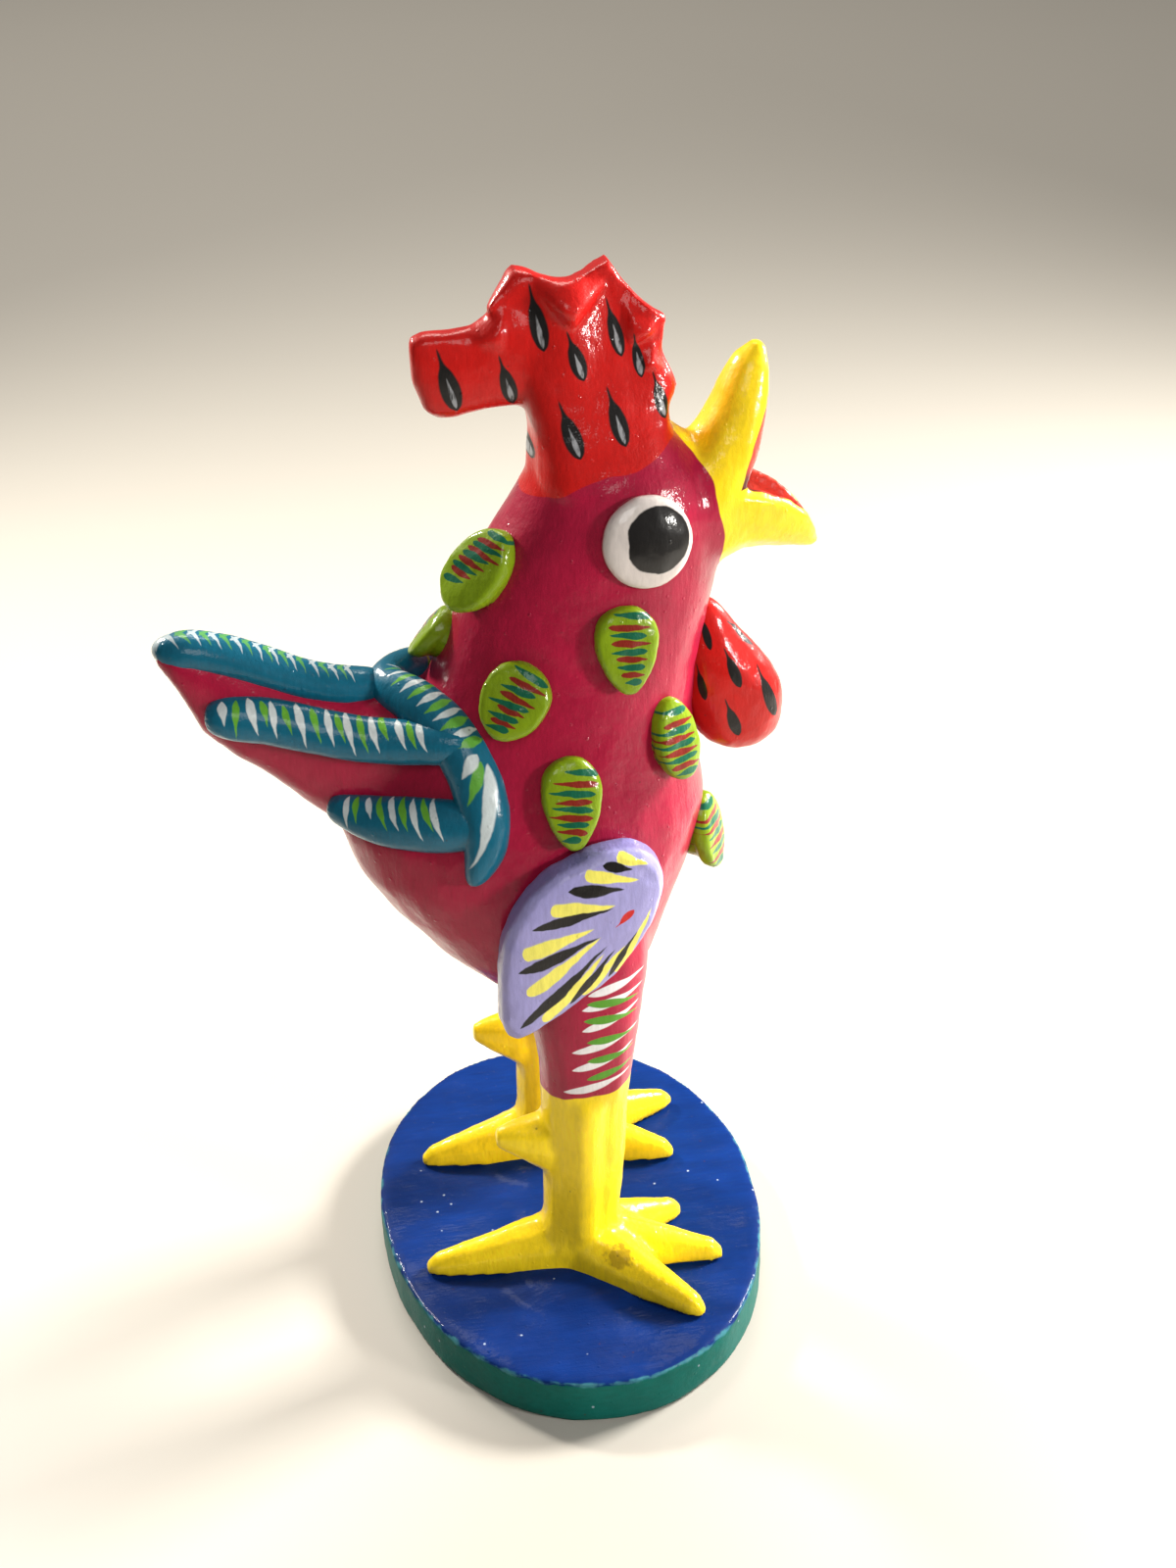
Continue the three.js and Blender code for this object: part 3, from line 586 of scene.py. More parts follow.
def brush_mark(name, outline):
    """One dab of the brush in its own frame: it runs from 0 to 1 along X, and its half-width along
    Y follows the outline, 1 at the most. The output is above 0 inside the dab."""
    group = bpy.data.node_groups.new(name, "ShaderNodeTree")
    group.interface.new_socket("Place", in_out="INPUT", socket_type="NodeSocketVector")
    group.interface.new_socket("Inside", in_out="OUTPUT", socket_type="NodeSocketFloat")
    start = group.nodes.new("NodeGroupInput")
    end = group.nodes.new("NodeGroupOutput")
    parts = node(group, "SeparateXYZ", {0: start.outputs["Place"]})
    width = line(group, parts.outputs["X"], outline)
    near = calc(group, "SUBTRACT", width, calc(group, "ABSOLUTE", parts.outputs["Y"]))
    group.links.new(near, end.inputs["Inside"])
    return group


# A seed is pointed at its upper end, a leaf at both, and a petal has a blunt full end.
SEED = brush_mark("seed_mark", (
    (0, -0.4), (0.06, 0.08), (0.22, 0.2), (0.45, 0.8), (0.68, 1), (0.86, 0.75), (0.96, 0.3), (1, -0.4),
))
LEAF = brush_mark("leaf_mark", (
    (0, -0.4), (0.08, 0.1), (0.3, 0.45), (0.5, 0.88), (0.66, 1), (0.82, 0.8), (0.95, 0.3), (1, -0.4),
))
PETAL = brush_mark("petal_mark", (
    (0, -0.4), (0.08, 0.12), (0.4, 0.6), (0.72, 1), (0.92, 0.92), (0.98, 0.55), (1, -0.4),
))


def dab(tree, plane, start, end, half_width, shape):
    """A brush dab from its thin end to its full end, in the plane's own millimetres."""
    run = Vector(end) - Vector(start)
    moved = node(tree, "Mapping", {"Vector": plane}, vector_type="TEXTURE")
    moved.inputs["Location"].default_value = (start[0], start[1], 0)
    moved.inputs["Rotation"].default_value = (0, 0, math.atan2(run.y, run.x))
    moved.inputs["Scale"].default_value = (run.length, half_width, 1)
    made = tree.nodes.new("ShaderNodeGroup")
    made.node_tree = shape
    tree.links.new(moved.outputs["Vector"], made.inputs["Place"])
    return made.outputs["Inside"]


def dabs(tree, plane, marks, half_width, shape, softness=0.12, above=None):
    """All of these dabs as one mask. A mark may give its own half-width after its two ends. They stay
    above a height, where one is given."""
    inside = None
    for start, end, *own_width in marks:
        one = dab(tree, plane, start, end, own_width[0] if own_width else half_width, shape)
        inside = one if inside is None else calc(tree, "MAXIMUM", inside, one)
    if above is not None:
        height = node(tree, "SeparateXYZ", {0: plane}).outputs["Z"]
        inside = calc(tree, "MINIMUM", inside, calc(tree, "SUBTRACT", height, above))
    return mask(tree, inside, softness)


# Each seed on the comb runs from its thin upper tip to its round lower end, across and up.
SEEDS = (
    ((-2.3, 167.3), (-0.8, 158.1), 1.2),
    ((-15.3, 159.4), (-12.8, 150.2), 1.43),
    ((-7, 158.2), (-5, 150.6), 1.1),
    ((2.2, 161.2), (4.4, 154.1), 1.15),
    ((8.1, 164.8), (9.9, 156.7), 1.01),
    ((11.5, 160.2), (12.5, 153.8), 0.78),
    ((14, 154.8), (15.7, 148), 0.97),
    ((0.6, 152), (3.1, 144.2), 1.29),
    ((7.4, 153.4), (9.5, 145.4), 1.24),
    ((-3.8, 148.2), (-2.8, 142.6), 0.64),
)
# The strokes on the thighs in the same way, the thin front end of each first.
THIGH_WHITE = (
    ((10.2, 65.8), (0.2, 64.2)),
    ((9.8, 63.5), (-0.8, 61.8)),
    ((9, 61), (-0.9, 58.2)),
    ((8.9, 57), (-2.5, 54.1)),
    ((8, 54), (-2.5, 50.6)),
    ((7.6, 48.9), (-3.8, 46.2)),
)
THIGH_GREEN = (
    ((8.9, 61.9), (0, 62.8)),
    ((8.7, 59.5), (-0.6, 60)),
    ((8.3, 56.4), (-0.2, 56.1)),
    ((8, 53.1), (-0.2, 52.4)),
    ((7.8, 50.5), (-0.3, 48.9)),
)


def part_of(mark, start, end):
    """The part of a brush mark between two shares of its length."""
    thin, full = Vector(mark[0]), Vector(mark[1])
    return thin.lerp(full, start), thin.lerp(full, end)


def side_on(tree, place):
    """A place as it is seen from the side: across and up."""
    axes = node(tree, "SeparateXYZ", {0: place}).outputs
    return node(tree, "CombineXYZ", {"X": axes["X"], "Y": axes["Z"]}).outputs["Vector"]


side_view = side_on(tree, place)
outer = mask(tree, calc(tree, "SUBTRACT", calc(tree, "ABSOLUTE", y), THIGH_OUTER), 0.6)
for strokes, half, paint in ((THIGH_WHITE, 0.74, STROKE_WHITE), (THIGH_GREEN, 0.68, STROKE_GREEN)):
    strokes = calc(tree, "MULTIPLY", outer, dabs(tree, side_view, strokes, half, LEAF))
    colour = layer(tree, strokes, colour, paint)
colour = layer(tree, dabs(tree, side_view, SEEDS, 1.2, SEED), colour, SEED_BLACK)
# A dry grey streak runs down each seed.
streaks = dabs(tree, side_view, [part_of(seed, 0.45, 0.95) for seed in SEEDS], 0.36, LEAF, 0.3)
streaks = calc(tree, "MULTIPLY", streaks, mask(tree, calc(tree, "SUBTRACT", brush, 0.4), 0.12))
colour = layer(tree, streaks, colour, SEED_GREY)
# The yellow is rubbed brown at one spot, on the right foot.
from_rub = node(tree, "VectorMath", {0: hand, 1: RUBBED}, operation="DISTANCE").outputs["Value"]
rubbed = calc(tree, "MULTIPLY_ADD", noise(tree, place, 1.1, 3.0), 4.1, calc(tree, "MULTIPLY", from_rub, -1))
rubbed = calc(tree, "MULTIPLY", mask(tree, rubbed, 0.5), 0.55)
colour = layer(tree, rubbed, colour, RUB_BROWN)
finish_paint(tree, place, brush, colour)
stand_for(figure, "rooster", body_paint)

# The wattle: one drop of paste pressed to the throat under the beak, painted red with black seeds
# like the comb's. Each ring of it is its height, how far forward it lies, and its two half-widths.
WATTLE_RINGS = (
    (92.9, 28.4, 1.8, 1.1),
    (93.7, 28.3, 4, 2.5),
    (95.6, 28, 6.2, 4),
    (99, 27.6, 7.7, 4.9),
    (103, 27, 8.1, 5.3),
    (107, 25.7, 7.4, 5),
    (111, 24, 5.7, 4.1),
    (114.8, 22.8, 3.5, 2.9),
    (118.3, 22, 1.8, 1.5),
)
WATTLE_SEEDS = (
    ((21.6, 116.7), (22.8, 111.1), 0.6),
    ((24.7, 111.6), (27.2, 105), 0.85),
    ((20.7, 109.2), (22, 103), 0.6),
    ((24.7, 103.7), (27.3, 96.4), 0.9),
    ((29.9, 108.2), (33.2, 98.8), 0.95),
    ((25.4, 115), (30.8, 110), 0.75),
)


def through_rings(name, rings, sides=16):
    """A skin drawn over oval rings. Each ring is its middle, and its two half-axes as vectors."""
    deselect()
    for k, (middle, one, other) in enumerate(rings):
        facing = Matrix((one.normalized(), other.normalized(), one.cross(other).normalized())).transposed()
        bpy.ops.mesh.primitive_circle_add(vertices=sides, radius=1, location=(0, 0, 0))
        ring = bpy.context.object
        spread = Matrix.Diagonal((one.length, other.length, 1)).to_4x4()
        ring.data.transform(Matrix.Translation(middle) @ facing.to_4x4() @ spread)
        ring.name = name if k == 0 else name + "_ring"
        if k == 0:
            piece = ring
        else:
            join_to(piece)
    pick(piece)
    bpy.ops.object.mode_set(mode="EDIT")
    bpy.ops.mesh.select_all(action="SELECT")
    bpy.ops.mesh.bridge_edge_loops()
    bpy.ops.mesh.select_all(action="DESELECT")
    bpy.ops.mesh.select_mode(type="EDGE")
    bpy.ops.mesh.select_non_manifold()
    bpy.ops.mesh.edge_face_add()
    bpy.ops.mesh.select_mode(type="VERT")
    face_outwards()
    return piece


drop = through_rings("painted_wattle", [
    (Vector((x, 0, z)) * MM, Vector((long * MM, 0, 0)), Vector((0, half * MM, 0)))
    for z, x, long, half in WATTLE_RINGS
])
apply(drop, "SUBSURF", levels=3, render_levels=3)
knead(drop, 6, 0.8)
settle(drop)
wattle_paint, tree, place, brush = varnish("wattle_paint")
sideways = calc(tree, "ABSOLUTE", faces_along(tree, "Y"))
on_side = mask(tree, calc(tree, "SUBTRACT", sideways, 0.35), 0.1)
seeds = calc(tree, "MULTIPLY", dabs(tree, side_on(tree, place), WATTLE_SEEDS, 1.0, SEED), on_side)
colour = layer(tree, seeds, COMB_RED, SEED_BLACK)
finish_paint(tree, place, brush, colour)
stand_for(drop, "wattle", wattle_paint)

# The eyes: low round domes of paste on the sides of the head, painted white with a large black
# pupil. Each is pressed on flat, with its root sunk in the skin.
PAD_ROOT = 2.4
PAD_GRAIN = 0.32
PAD_SKIRT = 0.3
# How far a pad is drawn in at its root, and then ring by ring over its shoulders and crown, each
# with its rise as a share of the pad's height.
ROOT_SHARE = 0.84
SHOULDERS = ((0.93, 0.26), (0.86, 0.1), (0.8, 0.06), (0.66, 0.05))
# Where an eye lies and the way it faces, with Y to the bird's right, and its turn in degrees. Every
# pad's size is its length and breadth.
EYE_PLACE = ((11.5, 11.8, 132.8), (0.14, 0.98, 0.12), 0)
EYE_SIZE = (13.6, 13.4)
EYE_HEIGHT = 2
EYE_DOME = 1
EYE_WHITE = (0.66, 0.6, 0.57, 1)
PUPIL_MIDDLE = (0.95, 0.5, 0)
PUPIL_HALF = (4.8, 4.75)
PUPIL_BACK = 3.4


def flat_pad(name, size, egg, height, lift, rim=0.55, dome=0):
    """A pad lying flat: X is its breadth, Y its length and Z the way it faces. It is broader at its
    upper end by the egg share, has round shoulders and a low crown, and its lower end stands off."""
    deselect()
    root = (0, 0, -PAD_ROOT * MM)
    bpy.ops.mesh.primitive_circle_add(vertices=64, radius=0.5 * MM, fill_type="NGON", location=root)
    pad = bpy.context.object
    pad.name = name
    pad.scale = (size[1], size[0], 1)
    settle(pad)
    bpy.ops.object.mode_set(mode="EDIT")
    bpy.ops.mesh.select_all(action="SELECT")
    drawn_in = ROOT_SHARE - 0.05 * lift
    bpy.ops.transform.resize(value=(drawn_in, drawn_in, 1))
    bpy.ops.transform.translate(value=(0, 0.03 * lift * size[0] * MM, 0))
    extrude(PAD_ROOT - PAD_SKIRT)
    bpy.ops.transform.resize(value=(0.98 / drawn_in, 0.98 / drawn_in, 1))
    bpy.ops.transform.translate(value=(0, -0.03 * lift * size[0] * MM, 0))
    extrude(PAD_SKIRT + rim * height)
    for share, rise in SHOULDERS:
        extrude(rise * height)
        bpy.ops.transform.resize(value=(share, share, 1))
    face_outwards()
    apply(pad, "SIMPLE_DEFORM", deform_method="TAPER", deform_axis="Y", factor=2 * egg, lock_z=True)
    apply(pad, "REMESH", mode="VOXEL", voxel_size=PAD_GRAIN * MM)
    apply(pad, "SMOOTH", factor=0.5, iterations=7)
    flat = pad.data.attributes.new("flat", "FLOAT_VECTOR", "POINT")
    for vertex, place in zip(pad.data.vertices, flat.data):
        place.vector = vertex.co / MM
        if vertex.co.z > 0.3 * height * MM:
            from_middle = math.hypot(2 * place.vector.x / size[1], 2 * place.vector.y / size[0])
            vertex.co.z += dome * MM * max(0, 1 - from_middle ** 2)
        if vertex.co.z > -0.5 * PAD_ROOT * MM:
            vertex.co.z += lift * MM * (0.5 - vertex.co.y / (size[0] * MM))
    return pad


def lay_pad(pad, place, facing, turn, side=-1):
    """Lays a flat pad on the skin of the bird's right side, or with its mirror image on the left."""
    out = Vector((facing[0], -facing[1], facing[2])).normalized()
    up = (Vector((0, 0, 1)) - out * out.z).normalized()
    across = up.cross(out)
    angle = math.radians(-turn)
    long = up * math.cos(angle) + across * math.sin(angle)
    wide = across * math.cos(angle) - up * math.sin(angle)
    frame_of = Matrix((wide, long, out)).transposed().to_4x4()
    frame_of.translation = Vector((place[0], -place[1], place[2])) * MM
    pad.data.transform(frame_of)
    if side > 0:
        pad.data.transform(Matrix.Diagonal((1, -1, 1, 1)))
        pad.data.flip_normals()


def twin(piece, name):
    """A copy with its own mesh."""
    other = bpy.data.objects.new(name, piece.data.copy())
    bpy.context.scene.collection.objects.link(other)
    return other


def lay_pair(pad, name, place, paint):
    """Lays a pad on the right side of the bird and its mirrored copy on the left."""
    other = twin(pad, "painted_" + name + "_left")
    for one, side, word in ((pad, -1, "right"), (other, 1, "left")):
        lay_pad(one, *place, side)
        settle(one)
        stand_for(one, name + "_" + word, paint)


def flat_place(tree):
    """The place on the flat pad of each point, in millimetres, with a slightly unsteady hand."""
    flat = node(tree, "Attribute", attribute_name="flat").outputs["Vector"]
    return unsteady(tree, flat, 0.5, 2.0, (0.5, 0.5, 0))


eye_paint, tree, place, brush = varnish("eye_paint", 0.36, coat=1, relief=0.4)
flat = flat_place(tree)
axes = node(tree, "SeparateXYZ", {0: flat}).outputs
from_pupil = vector_calc(tree, "SUBTRACT", flat, PUPIL_MIDDLE)
from_pupil = vector_calc(tree, "MULTIPLY", from_pupil, (1 / PUPIL_HALF[0], 1 / PUPIL_HALF[1], 0))
far = node(tree, "VectorMath", {0: from_pupil}, operation="LENGTH").outputs["Value"]
# The pupil is round, but cut off nearly straight towards the back of the head.
pupil = calc(tree, "MULTIPLY", calc(tree, "SUBTRACT", 1, far), 4.5)
pupil = mask(tree, calc(tree, "MINIMUM", pupil, calc(tree, "ADD", axes["X"], PUPIL_BACK)))
above_skin = mask(tree, calc(tree, "SUBTRACT", axes["Z"], 0.55), 0.3)
white = layer(tree, above_skin, BODY_PINK, EYE_WHITE)
finish_paint(tree, place, brush, layer(tree, pupil, white, SEED_BLACK))
eye = flat_pad("painted_eye_right", EYE_SIZE, 0, EYE_HEIGHT, 0, 0.5, EYE_DOME)
knead(eye, 4, 0.2)
lay_pair(eye, "eye", EYE_PLACE, eye_paint)

# The wings: two thick egg-shaped pads of paste on the flanks, lilac, each with a fan of yellow and
# black dabs that runs out from a short red one.
WING_PLACE = ((-1.4, 20, 74.6), (0.1, 0.99, -0.03), -36)
WING_SIZE = (36.3, 20.6)
WING_EGG = 0.08
WING_HEIGHT = 3.9
WING_LIFT = 0.2
WING_DOME = 0.5
# The wing's face lies above this height, and its wall below, where the lilac is darkened as painted shade.
FACE_FROM = 2.7
LILAC = (0.34, 0.32, 0.62, 1)
LILAC_PAINTED_SHADE = (0.2, 0.19, 0.42, 1)
RAY_YELLOW = (0.87, 0.8, 0.14, 1)
# The two ends of each ray on the flat pad, the thin one first, and its own half-width.
YELLOW_RAYS = (
    ((0.8, 16.5), (-4.1, 15.4), 0.8),
    ((0.9, 14), (-7, 10.8), 0.95),
    ((-0.1, 9.1), (-8.5, 3.7), 1.1),
    ((-0.8, 4.6), (-7.8, -4.5), 1.2),
    ((0.9, 4.1), (-3.4, -9.8)),
    ((3.1, 1.8), (1.8, -12.9)),
    ((5.4, 4.2), (4.6, -6.3), 0.9),
    ((5.5, 11), (7.2, -1), 0.9),
)
BLACK_RAYS = (
    ((-0.9, 15), (-5.5, 13.3), 0.8),
    ((-0.2, 12), (-7.9, 7.5), 1.05),
    ((-0.1, 8.9), (-9.2, -0.2)),
    ((0.9, 4), (-6.7, -7.4), 1),
    ((2.7, 3.4), (-0.8, -15.6), 0.95),
    ((4.3, 3.2), (3.6, -8.6), 0.75),
    ((5.5, 7), (6.5, -2.2), 0.65),
)
RED_DASH = (((1.7, 5.8), (2.8, 9.6)),)
# How far the wing stands out to each side of its middle line, at places along it from its lower
# tip, as a share of the oval's half-breadth. It is cut away most at the front and towards the tip.
WING_FRONT = ((-19, 0.5), (-13.6, 0.5), (-7.6, 0.64), (-1.5, 0.8), (6.5, 0.83), (12.8, 0.9), (19, 0.92))
WING_BACK = (
    (-19, 0.75), (-15, 0.77), (-12.7, 0.84), (-5, 1.07), (-1.4, 1.1),
    (4, 1.14), (8, 1.11), (12, 0.97), (19, 0.95),
)


def between(value, pairs):
    """Reads a value off a line through pairs of numbers."""
    for (low, one), (high, other) in zip(pairs, pairs[1:]):
        if value <= high:
            return one + (other - one) * max(0, value - low) / (high - low)
    return pairs[-1][1]


wing_paint, tree, place, brush = varnish("wing_paint", relief=1)
flat = flat_place(tree)
height = node(tree, "SeparateXYZ", {0: flat}).outputs["Z"]
# The wall is painted a darker lilac: painted shade, as if it lay in shadow.
shaded_wall = mask(tree, calc(tree, "SUBTRACT", FACE_FROM - 0.3, height), 0.6)
colour = layer(tree, shaded_wall, LILAC, LILAC_PAINTED_SHADE)
colour = layer(tree, dabs(tree, flat, YELLOW_RAYS, 1.05, PETAL, above=FACE_FROM), colour, RAY_YELLOW)
colour = layer(tree, dabs(tree, flat, BLACK_RAYS, 0.82, LEAF, above=FACE_FROM), colour, SEED_BLACK)
colour = layer(tree, dabs(tree, flat, RED_DASH, 0.6, SEED), colour, COMB_RED)
finish_paint(tree, place, brush, colour)
wing = flat_pad("painted_wing_right", WING_SIZE, WING_EGG, WING_HEIGHT, WING_LIFT, 0.72, WING_DOME)
for vertex, place in zip(wing.data.vertices, wing.data.attributes["flat"].data):
    across, along = place.vector.x, place.vector.y
    share = between(along, WING_FRONT if across > 0 else WING_BACK)
    share = 1 + (share - 1) * min(1, abs(across) / 2)
    place.vector.x = across * share
    vertex.co.x += across * (share - 1) * MM
apply(wing, "SMOOTH", factor=0.5, iterations=4)
knead(wing, 8, 0.9)
knead(wing, 2.4, 0.12)
lay_pair(wing, "wing", WING_PLACE, wing_paint)

# The feather pads: small lime drops of paste on the neck, breast and flanks, pressed on at the top
# and standing off a little at the lower end. Each has a ladder of short green and red dabs.
LIME = (0.2, 0.31, 0.005, 1)
LADDER_GREEN = (0.004, 0.11, 0.055, 1)
LADDER_RED = (0.22, 0.016, 0.008, 1)
FEATHER_RISE = 1.9
FEATHER_LIFT = 1.8
# Place and the way it faces, with Y to the right, then its turn, length and breadth, and egg share.
# The pairs lie on both sides, and the single ones also have their own lift.
FEATHERS = {
    "cheek": ((8, 13.4, 117.6), (0.11, 0.99, 0.05), -2, (13, 9.1), 0.26),
    "shoulder": ((-7.8, 13.3, 110.8), (-0.35, 0.9, 0.25), -24, (11.8, 10), 0.1),
    "chest": ((14.9, 11.7, 101.8), (0.55, 0.82, 0.1), 4, (13, 7.9), -0.12),
    "flank": ((-1, 17.6, 96), (0.06, 0.98, 0.19), -3, (14, 8.8), 0.24),
}
SINGLE_FEATHERS = {
    "nape_right": ((-10.6, 5, 127.5), (-0.75, 0.55, 0.4), -26, (14, 9.8), -0.1, FEATHER_LIFT),
    "hackle": ((-15.6, -1.6, 115), (-0.93, -0.25, 0.28), 0, (9, 8.2), 0, 3.6),
    "breast": ((20.8, 3.4, 81.3), (0.86, 0.5, -0.1), 0, (12.6, 8.6), -0.14, 3.4),
}
# The rungs of each pad's ladder, by pairs of a green and a red one from the top: the two ends of
# each on the flat pad, the thin one first.
LADDERS = {
    "cheek": (
        ((-1.5, 5.6), (3.3, 4.9)), ((2.6, 3.5), (-2.8, 4)),
        ((-2.4, 2.9), (2.3, 2.4)), ((2.6, 1.3), (-2.5, 1.7)),
        ((-2.4, 0.4), (2.3, 0.2)), ((2.1, -0.9), (-1.9, -0.6)),
        ((-1.6, -1.8), (2, -2)), ((1.8, -3.2), (-1.3, -2.9)),
        ((-0.7, -4.2), (1.6, -4.1)),
    ),
    "shoulder": (
        ((-1.6, 4.9), (3.2, 4.3)), ((3.3, 3.2), (-1.8, 3.3)),
        ((-2.2, 1.9), (2.4, 2.4)), ((2.8, 1), (-2.1, 1)),
        ((-2.8, -0.5), (2.4, 0.2)), ((2.1, -0.8), (-1.6, -1)),
        ((-2.2, -2.3), (1.9, -1.8)), ((1.8, -2.8), (-1.6, -3)),
        ((-1.8, -4.2), (1.3, -3.6)),
    ),
    "chest": (
        ((-2.1, 4.9), (2, 4.2)), ((2.3, 2.6), (-2.6, 3)),
        ((-3.5, 2), (1.9, 1.6)), ((2, 0.3), (-3.6, 0.9)),
        ((-3.9, -0.1), (2, -0.6)), ((2.1, -1.8), (-3.6, -1.2)),
        ((-3.7, -2.4), (2, -2.7)), ((2, -4), (-2.8, -3.5)),
        ((-2, -4.8), (1.8, -5)),
    ),
    "flank": (
        ((-0.7, 5), (3.9, 4.4)), ((-2.4, 3.5), (3.5, 2.9)),
        ((-3.1, 2.1), (2.9, 1.6)), ((-2.4, 0.7), (2.4, 0.5)),
        ((-2.8, -0.1), (2.5, -0.7)), ((-3.2, -1.4), (2.5, -1.9)),
        ((-2.2, -2.5), (1.9, -2.8)), ((-2.2, -3.5), (1.7, -4)),
        ((-1.8, -5), (0.8, -4.9)),
    ),
    "nape_right": (
        ((1.6, 6.4), (-1.8, 5.5)), ((1.9, 5.3), (-2.3, 3.8)),
        ((2.3, 4.5), (-2.5, 3)), ((2.7, 3.4), (-2.7, 2)),
        ((1.6, 2.5), (-2.9, 1)), ((1.6, 1.3), (-2.9, 0)),
        ((1.2, 0.1), (-3.1, -1.2)), ((0.9, -0.9), (-2.8, -1.9)),
        ((0.4, -2.1), (-2.8, -3.6)),
    ),
    "hackle": tuple(((-3.6, 3 - 0.9 * k), (0.4, 3.1 - 0.9 * k)) for k in range(8)),
    "breast": (
        ((-2.7, 4.7), (0.5, 5.2)), ((-3.6, 2.8), (1.2, 3.8)),
        ((-3.6, 2), (1.9, 2.5)), ((-3.4, 1.1), (2.4, 1.4)),
        ((-2.9, 0), (2.6, 0.3)), ((-3.1, -1.3), (2.8, -0.9)),
        ((-2.5, -2.4), (2.7, -2.1)), ((-3, -3.8), (2.4, -3.4)),
        ((-2.4, -4.8), (2, -4.6)),
    ),
}
RUNG = brush_mark("rung_mark", (
    (0, -0.3), (0.05, 0.2), (0.2, 0.48), (0.42, 0.85), (0.62, 1), (0.84, 0.85), (0.95, 0.45), (1, -0.3),
))


def ladder_paint(name, rungs):
    """Lime with rungs of green and red by turns."""
    material, tree, place, brush = varnish(name)
    flat = flat_place(tree)
    longer = [part_of(rung, -0.12, 1.05) for rung in rungs]
    colour = layer(tree, dabs(tree, flat, longer[1::2], 0.5, RUNG, 0.1), LIME, LADDER_RED)
    colour = layer(tree, dabs(tree, flat, longer[0::2], 0.52, RUNG, 0.1), colour, LADDER_GREEN)
    finish_paint(tree, place, brush, colour)
    return material


for name, (*where, size, egg) in FEATHERS.items():
    paint = ladder_paint(name + "_paint", LADDERS[name])
    pad = flat_pad("painted_feather_" + name + "_right", size, egg, FEATHER_RISE, FEATHER_LIFT)
    knead(pad, 3.2, 0.5)
    lay_pair(pad, "feather_" + name, where, paint)
for name, (*where, size, egg, lift) in SINGLE_FEATHERS.items():
    pad = flat_pad("painted_feather_" + name, size, egg, FEATHER_RISE, lift)
    knead(pad, 3.2, 0.5)
    lay_pad(pad, *where)
    settle(pad)
    stand_for(pad, "feather_" + name, ladder_paint(name + "_paint", LADDERS[name]))

# The tail rolls: strips of paste rolled by hand and pressed along the tail, petrol blue with close
# dabs of white and green across them. The band is one longer roll laid over the tail's root.
PETROL = (0.004, 0.12, 0.2, 1)
ROLL_WHITE = (0.66, 0.72, 0.72, 1)
ROLL_GREEN = (0.14, 0.42, 0.02, 1)
# Each roll's route from its tip: places along its middle, and its half-breadth there. The band's
# runs from its top down the left side.
TOP_ROLL = (
    (-57.3, 0, 115.8, 1.2),
    (-56.2, 0, 116.8, 2.9),
    (-52.5, 0, 117.3, 3.8),
    (-47, 0, 115.6, 3.9),
    (-41, 0, 112.6, 3.9),
    (-35, 0, 109.8, 3.9),
    (-29, 0, 108.6, 3.7),
)
MIDDLE_ROLL = (
    (-51.6, 3.6, 108.2, 2.2),
    (-48.5, 4.4, 108.2, 3.6),
    (-43.5, 5, 107.6, 3.6),
    (-36.5, 6.2, 105.6, 3.5),
    (-28, 8.2, 103.8, 3.5),
    (-20, 10.6, 104, 3.3),
)
LOWER_ROLL = (
    (-35, 5.5, 92.6, 1.8),
    (-32.5, 7.4, 92.4, 2.8),
    (-28.5, 10, 91.8, 3.7),
    (-23.5, 13.4, 92.4, 4.3),
    (-17, 16.4, 93, 4),
)
BAND = (
    (-26.2, 0, 108.8, 3.2),
    (-22.6, 4.4, 109, 3.5),
    (-18.9, 8.5, 107, 3.8),
    (-15.7, 12.1, 103.7, 4),
    (-13.9, 15, 99, 4.1),
    (-13.3, 17.3, 94, 3.9),
    (-13.6, 18.4, 90, 3.4),
    (-15, 19, 86.6, 2.2),
    (-16.2, 19, 84.6, 0.8),
)
ROLL_SIDES = 16
ROLL_THICKNESS = 3.1
BAND_THICKNESS = 3.2
# Where each roll's other end lies, hidden under the band.
PAST_BAND = {
    "tail_roll_top": (-25.6, 0, 108.4, 3),
    "tail_roll_middle": (-13.5, 13.2, 104.2, 3),
    "tail_roll_lower": (-11.5, 17.4, 93.5, 3.6),
}
# The dabs on the flattened rolls: how far along and across each runs, the thin end first.
MIDDLE_WHITE = (
    ((3.1, 2.4), (2.5, -1.6)), ((8, 3), (5.9, -2.7)), ((11, 2.9), (8.8, -2.9)),
    ((15.4, 3.1), (12.5, -3.4)), ((19.4, 2.2), (16.9, -3.5)), ((22.8, 2.8), (19.8, -3.7)),
    ((26.2, 2), (23.8, -3.7)), ((30.2, 1.3), (27.9, -3.4)), ((33.4, 1.4), (31.3, -3.2)),
)
MIDDLE_GREEN = (
    ((5, 3.6), (4.4, -2.1)), ((9.3, 1.5), (7.6, -2.5)), ((13.1, 1.8), (10.7, -2.5)),
    ((17.4, 2), (14.7, -3)), ((21, 1.2), (18.6, -3.1)), ((24.6, 2.3), (21.9, -3.6)),
    ((27.4, 0), (25.3, -3.6)), ((31.8, 1.1), (29.7, -3.2)),
)
LOWER_WHITE = (
    ((4.7, 2.4), (3.3, -2.5)), ((8.4, -0.1), (6.7, -3.2)), ((13, 0.9), (10.6, -4)),
    ((16.5, 2.1), (14.1, -4.2)), ((19.6, 2.1), (17.4, -4.2)),
)
LOWER_GREEN = (
    ((6.2, 1.2), (4.8, -2.8)), ((11.3, 1.2), (8.4, -3.7)), ((14.3, 0.9), (12.5, -4.2)),
    ((18.3, 0.5), (15.8, -4.2)),
)
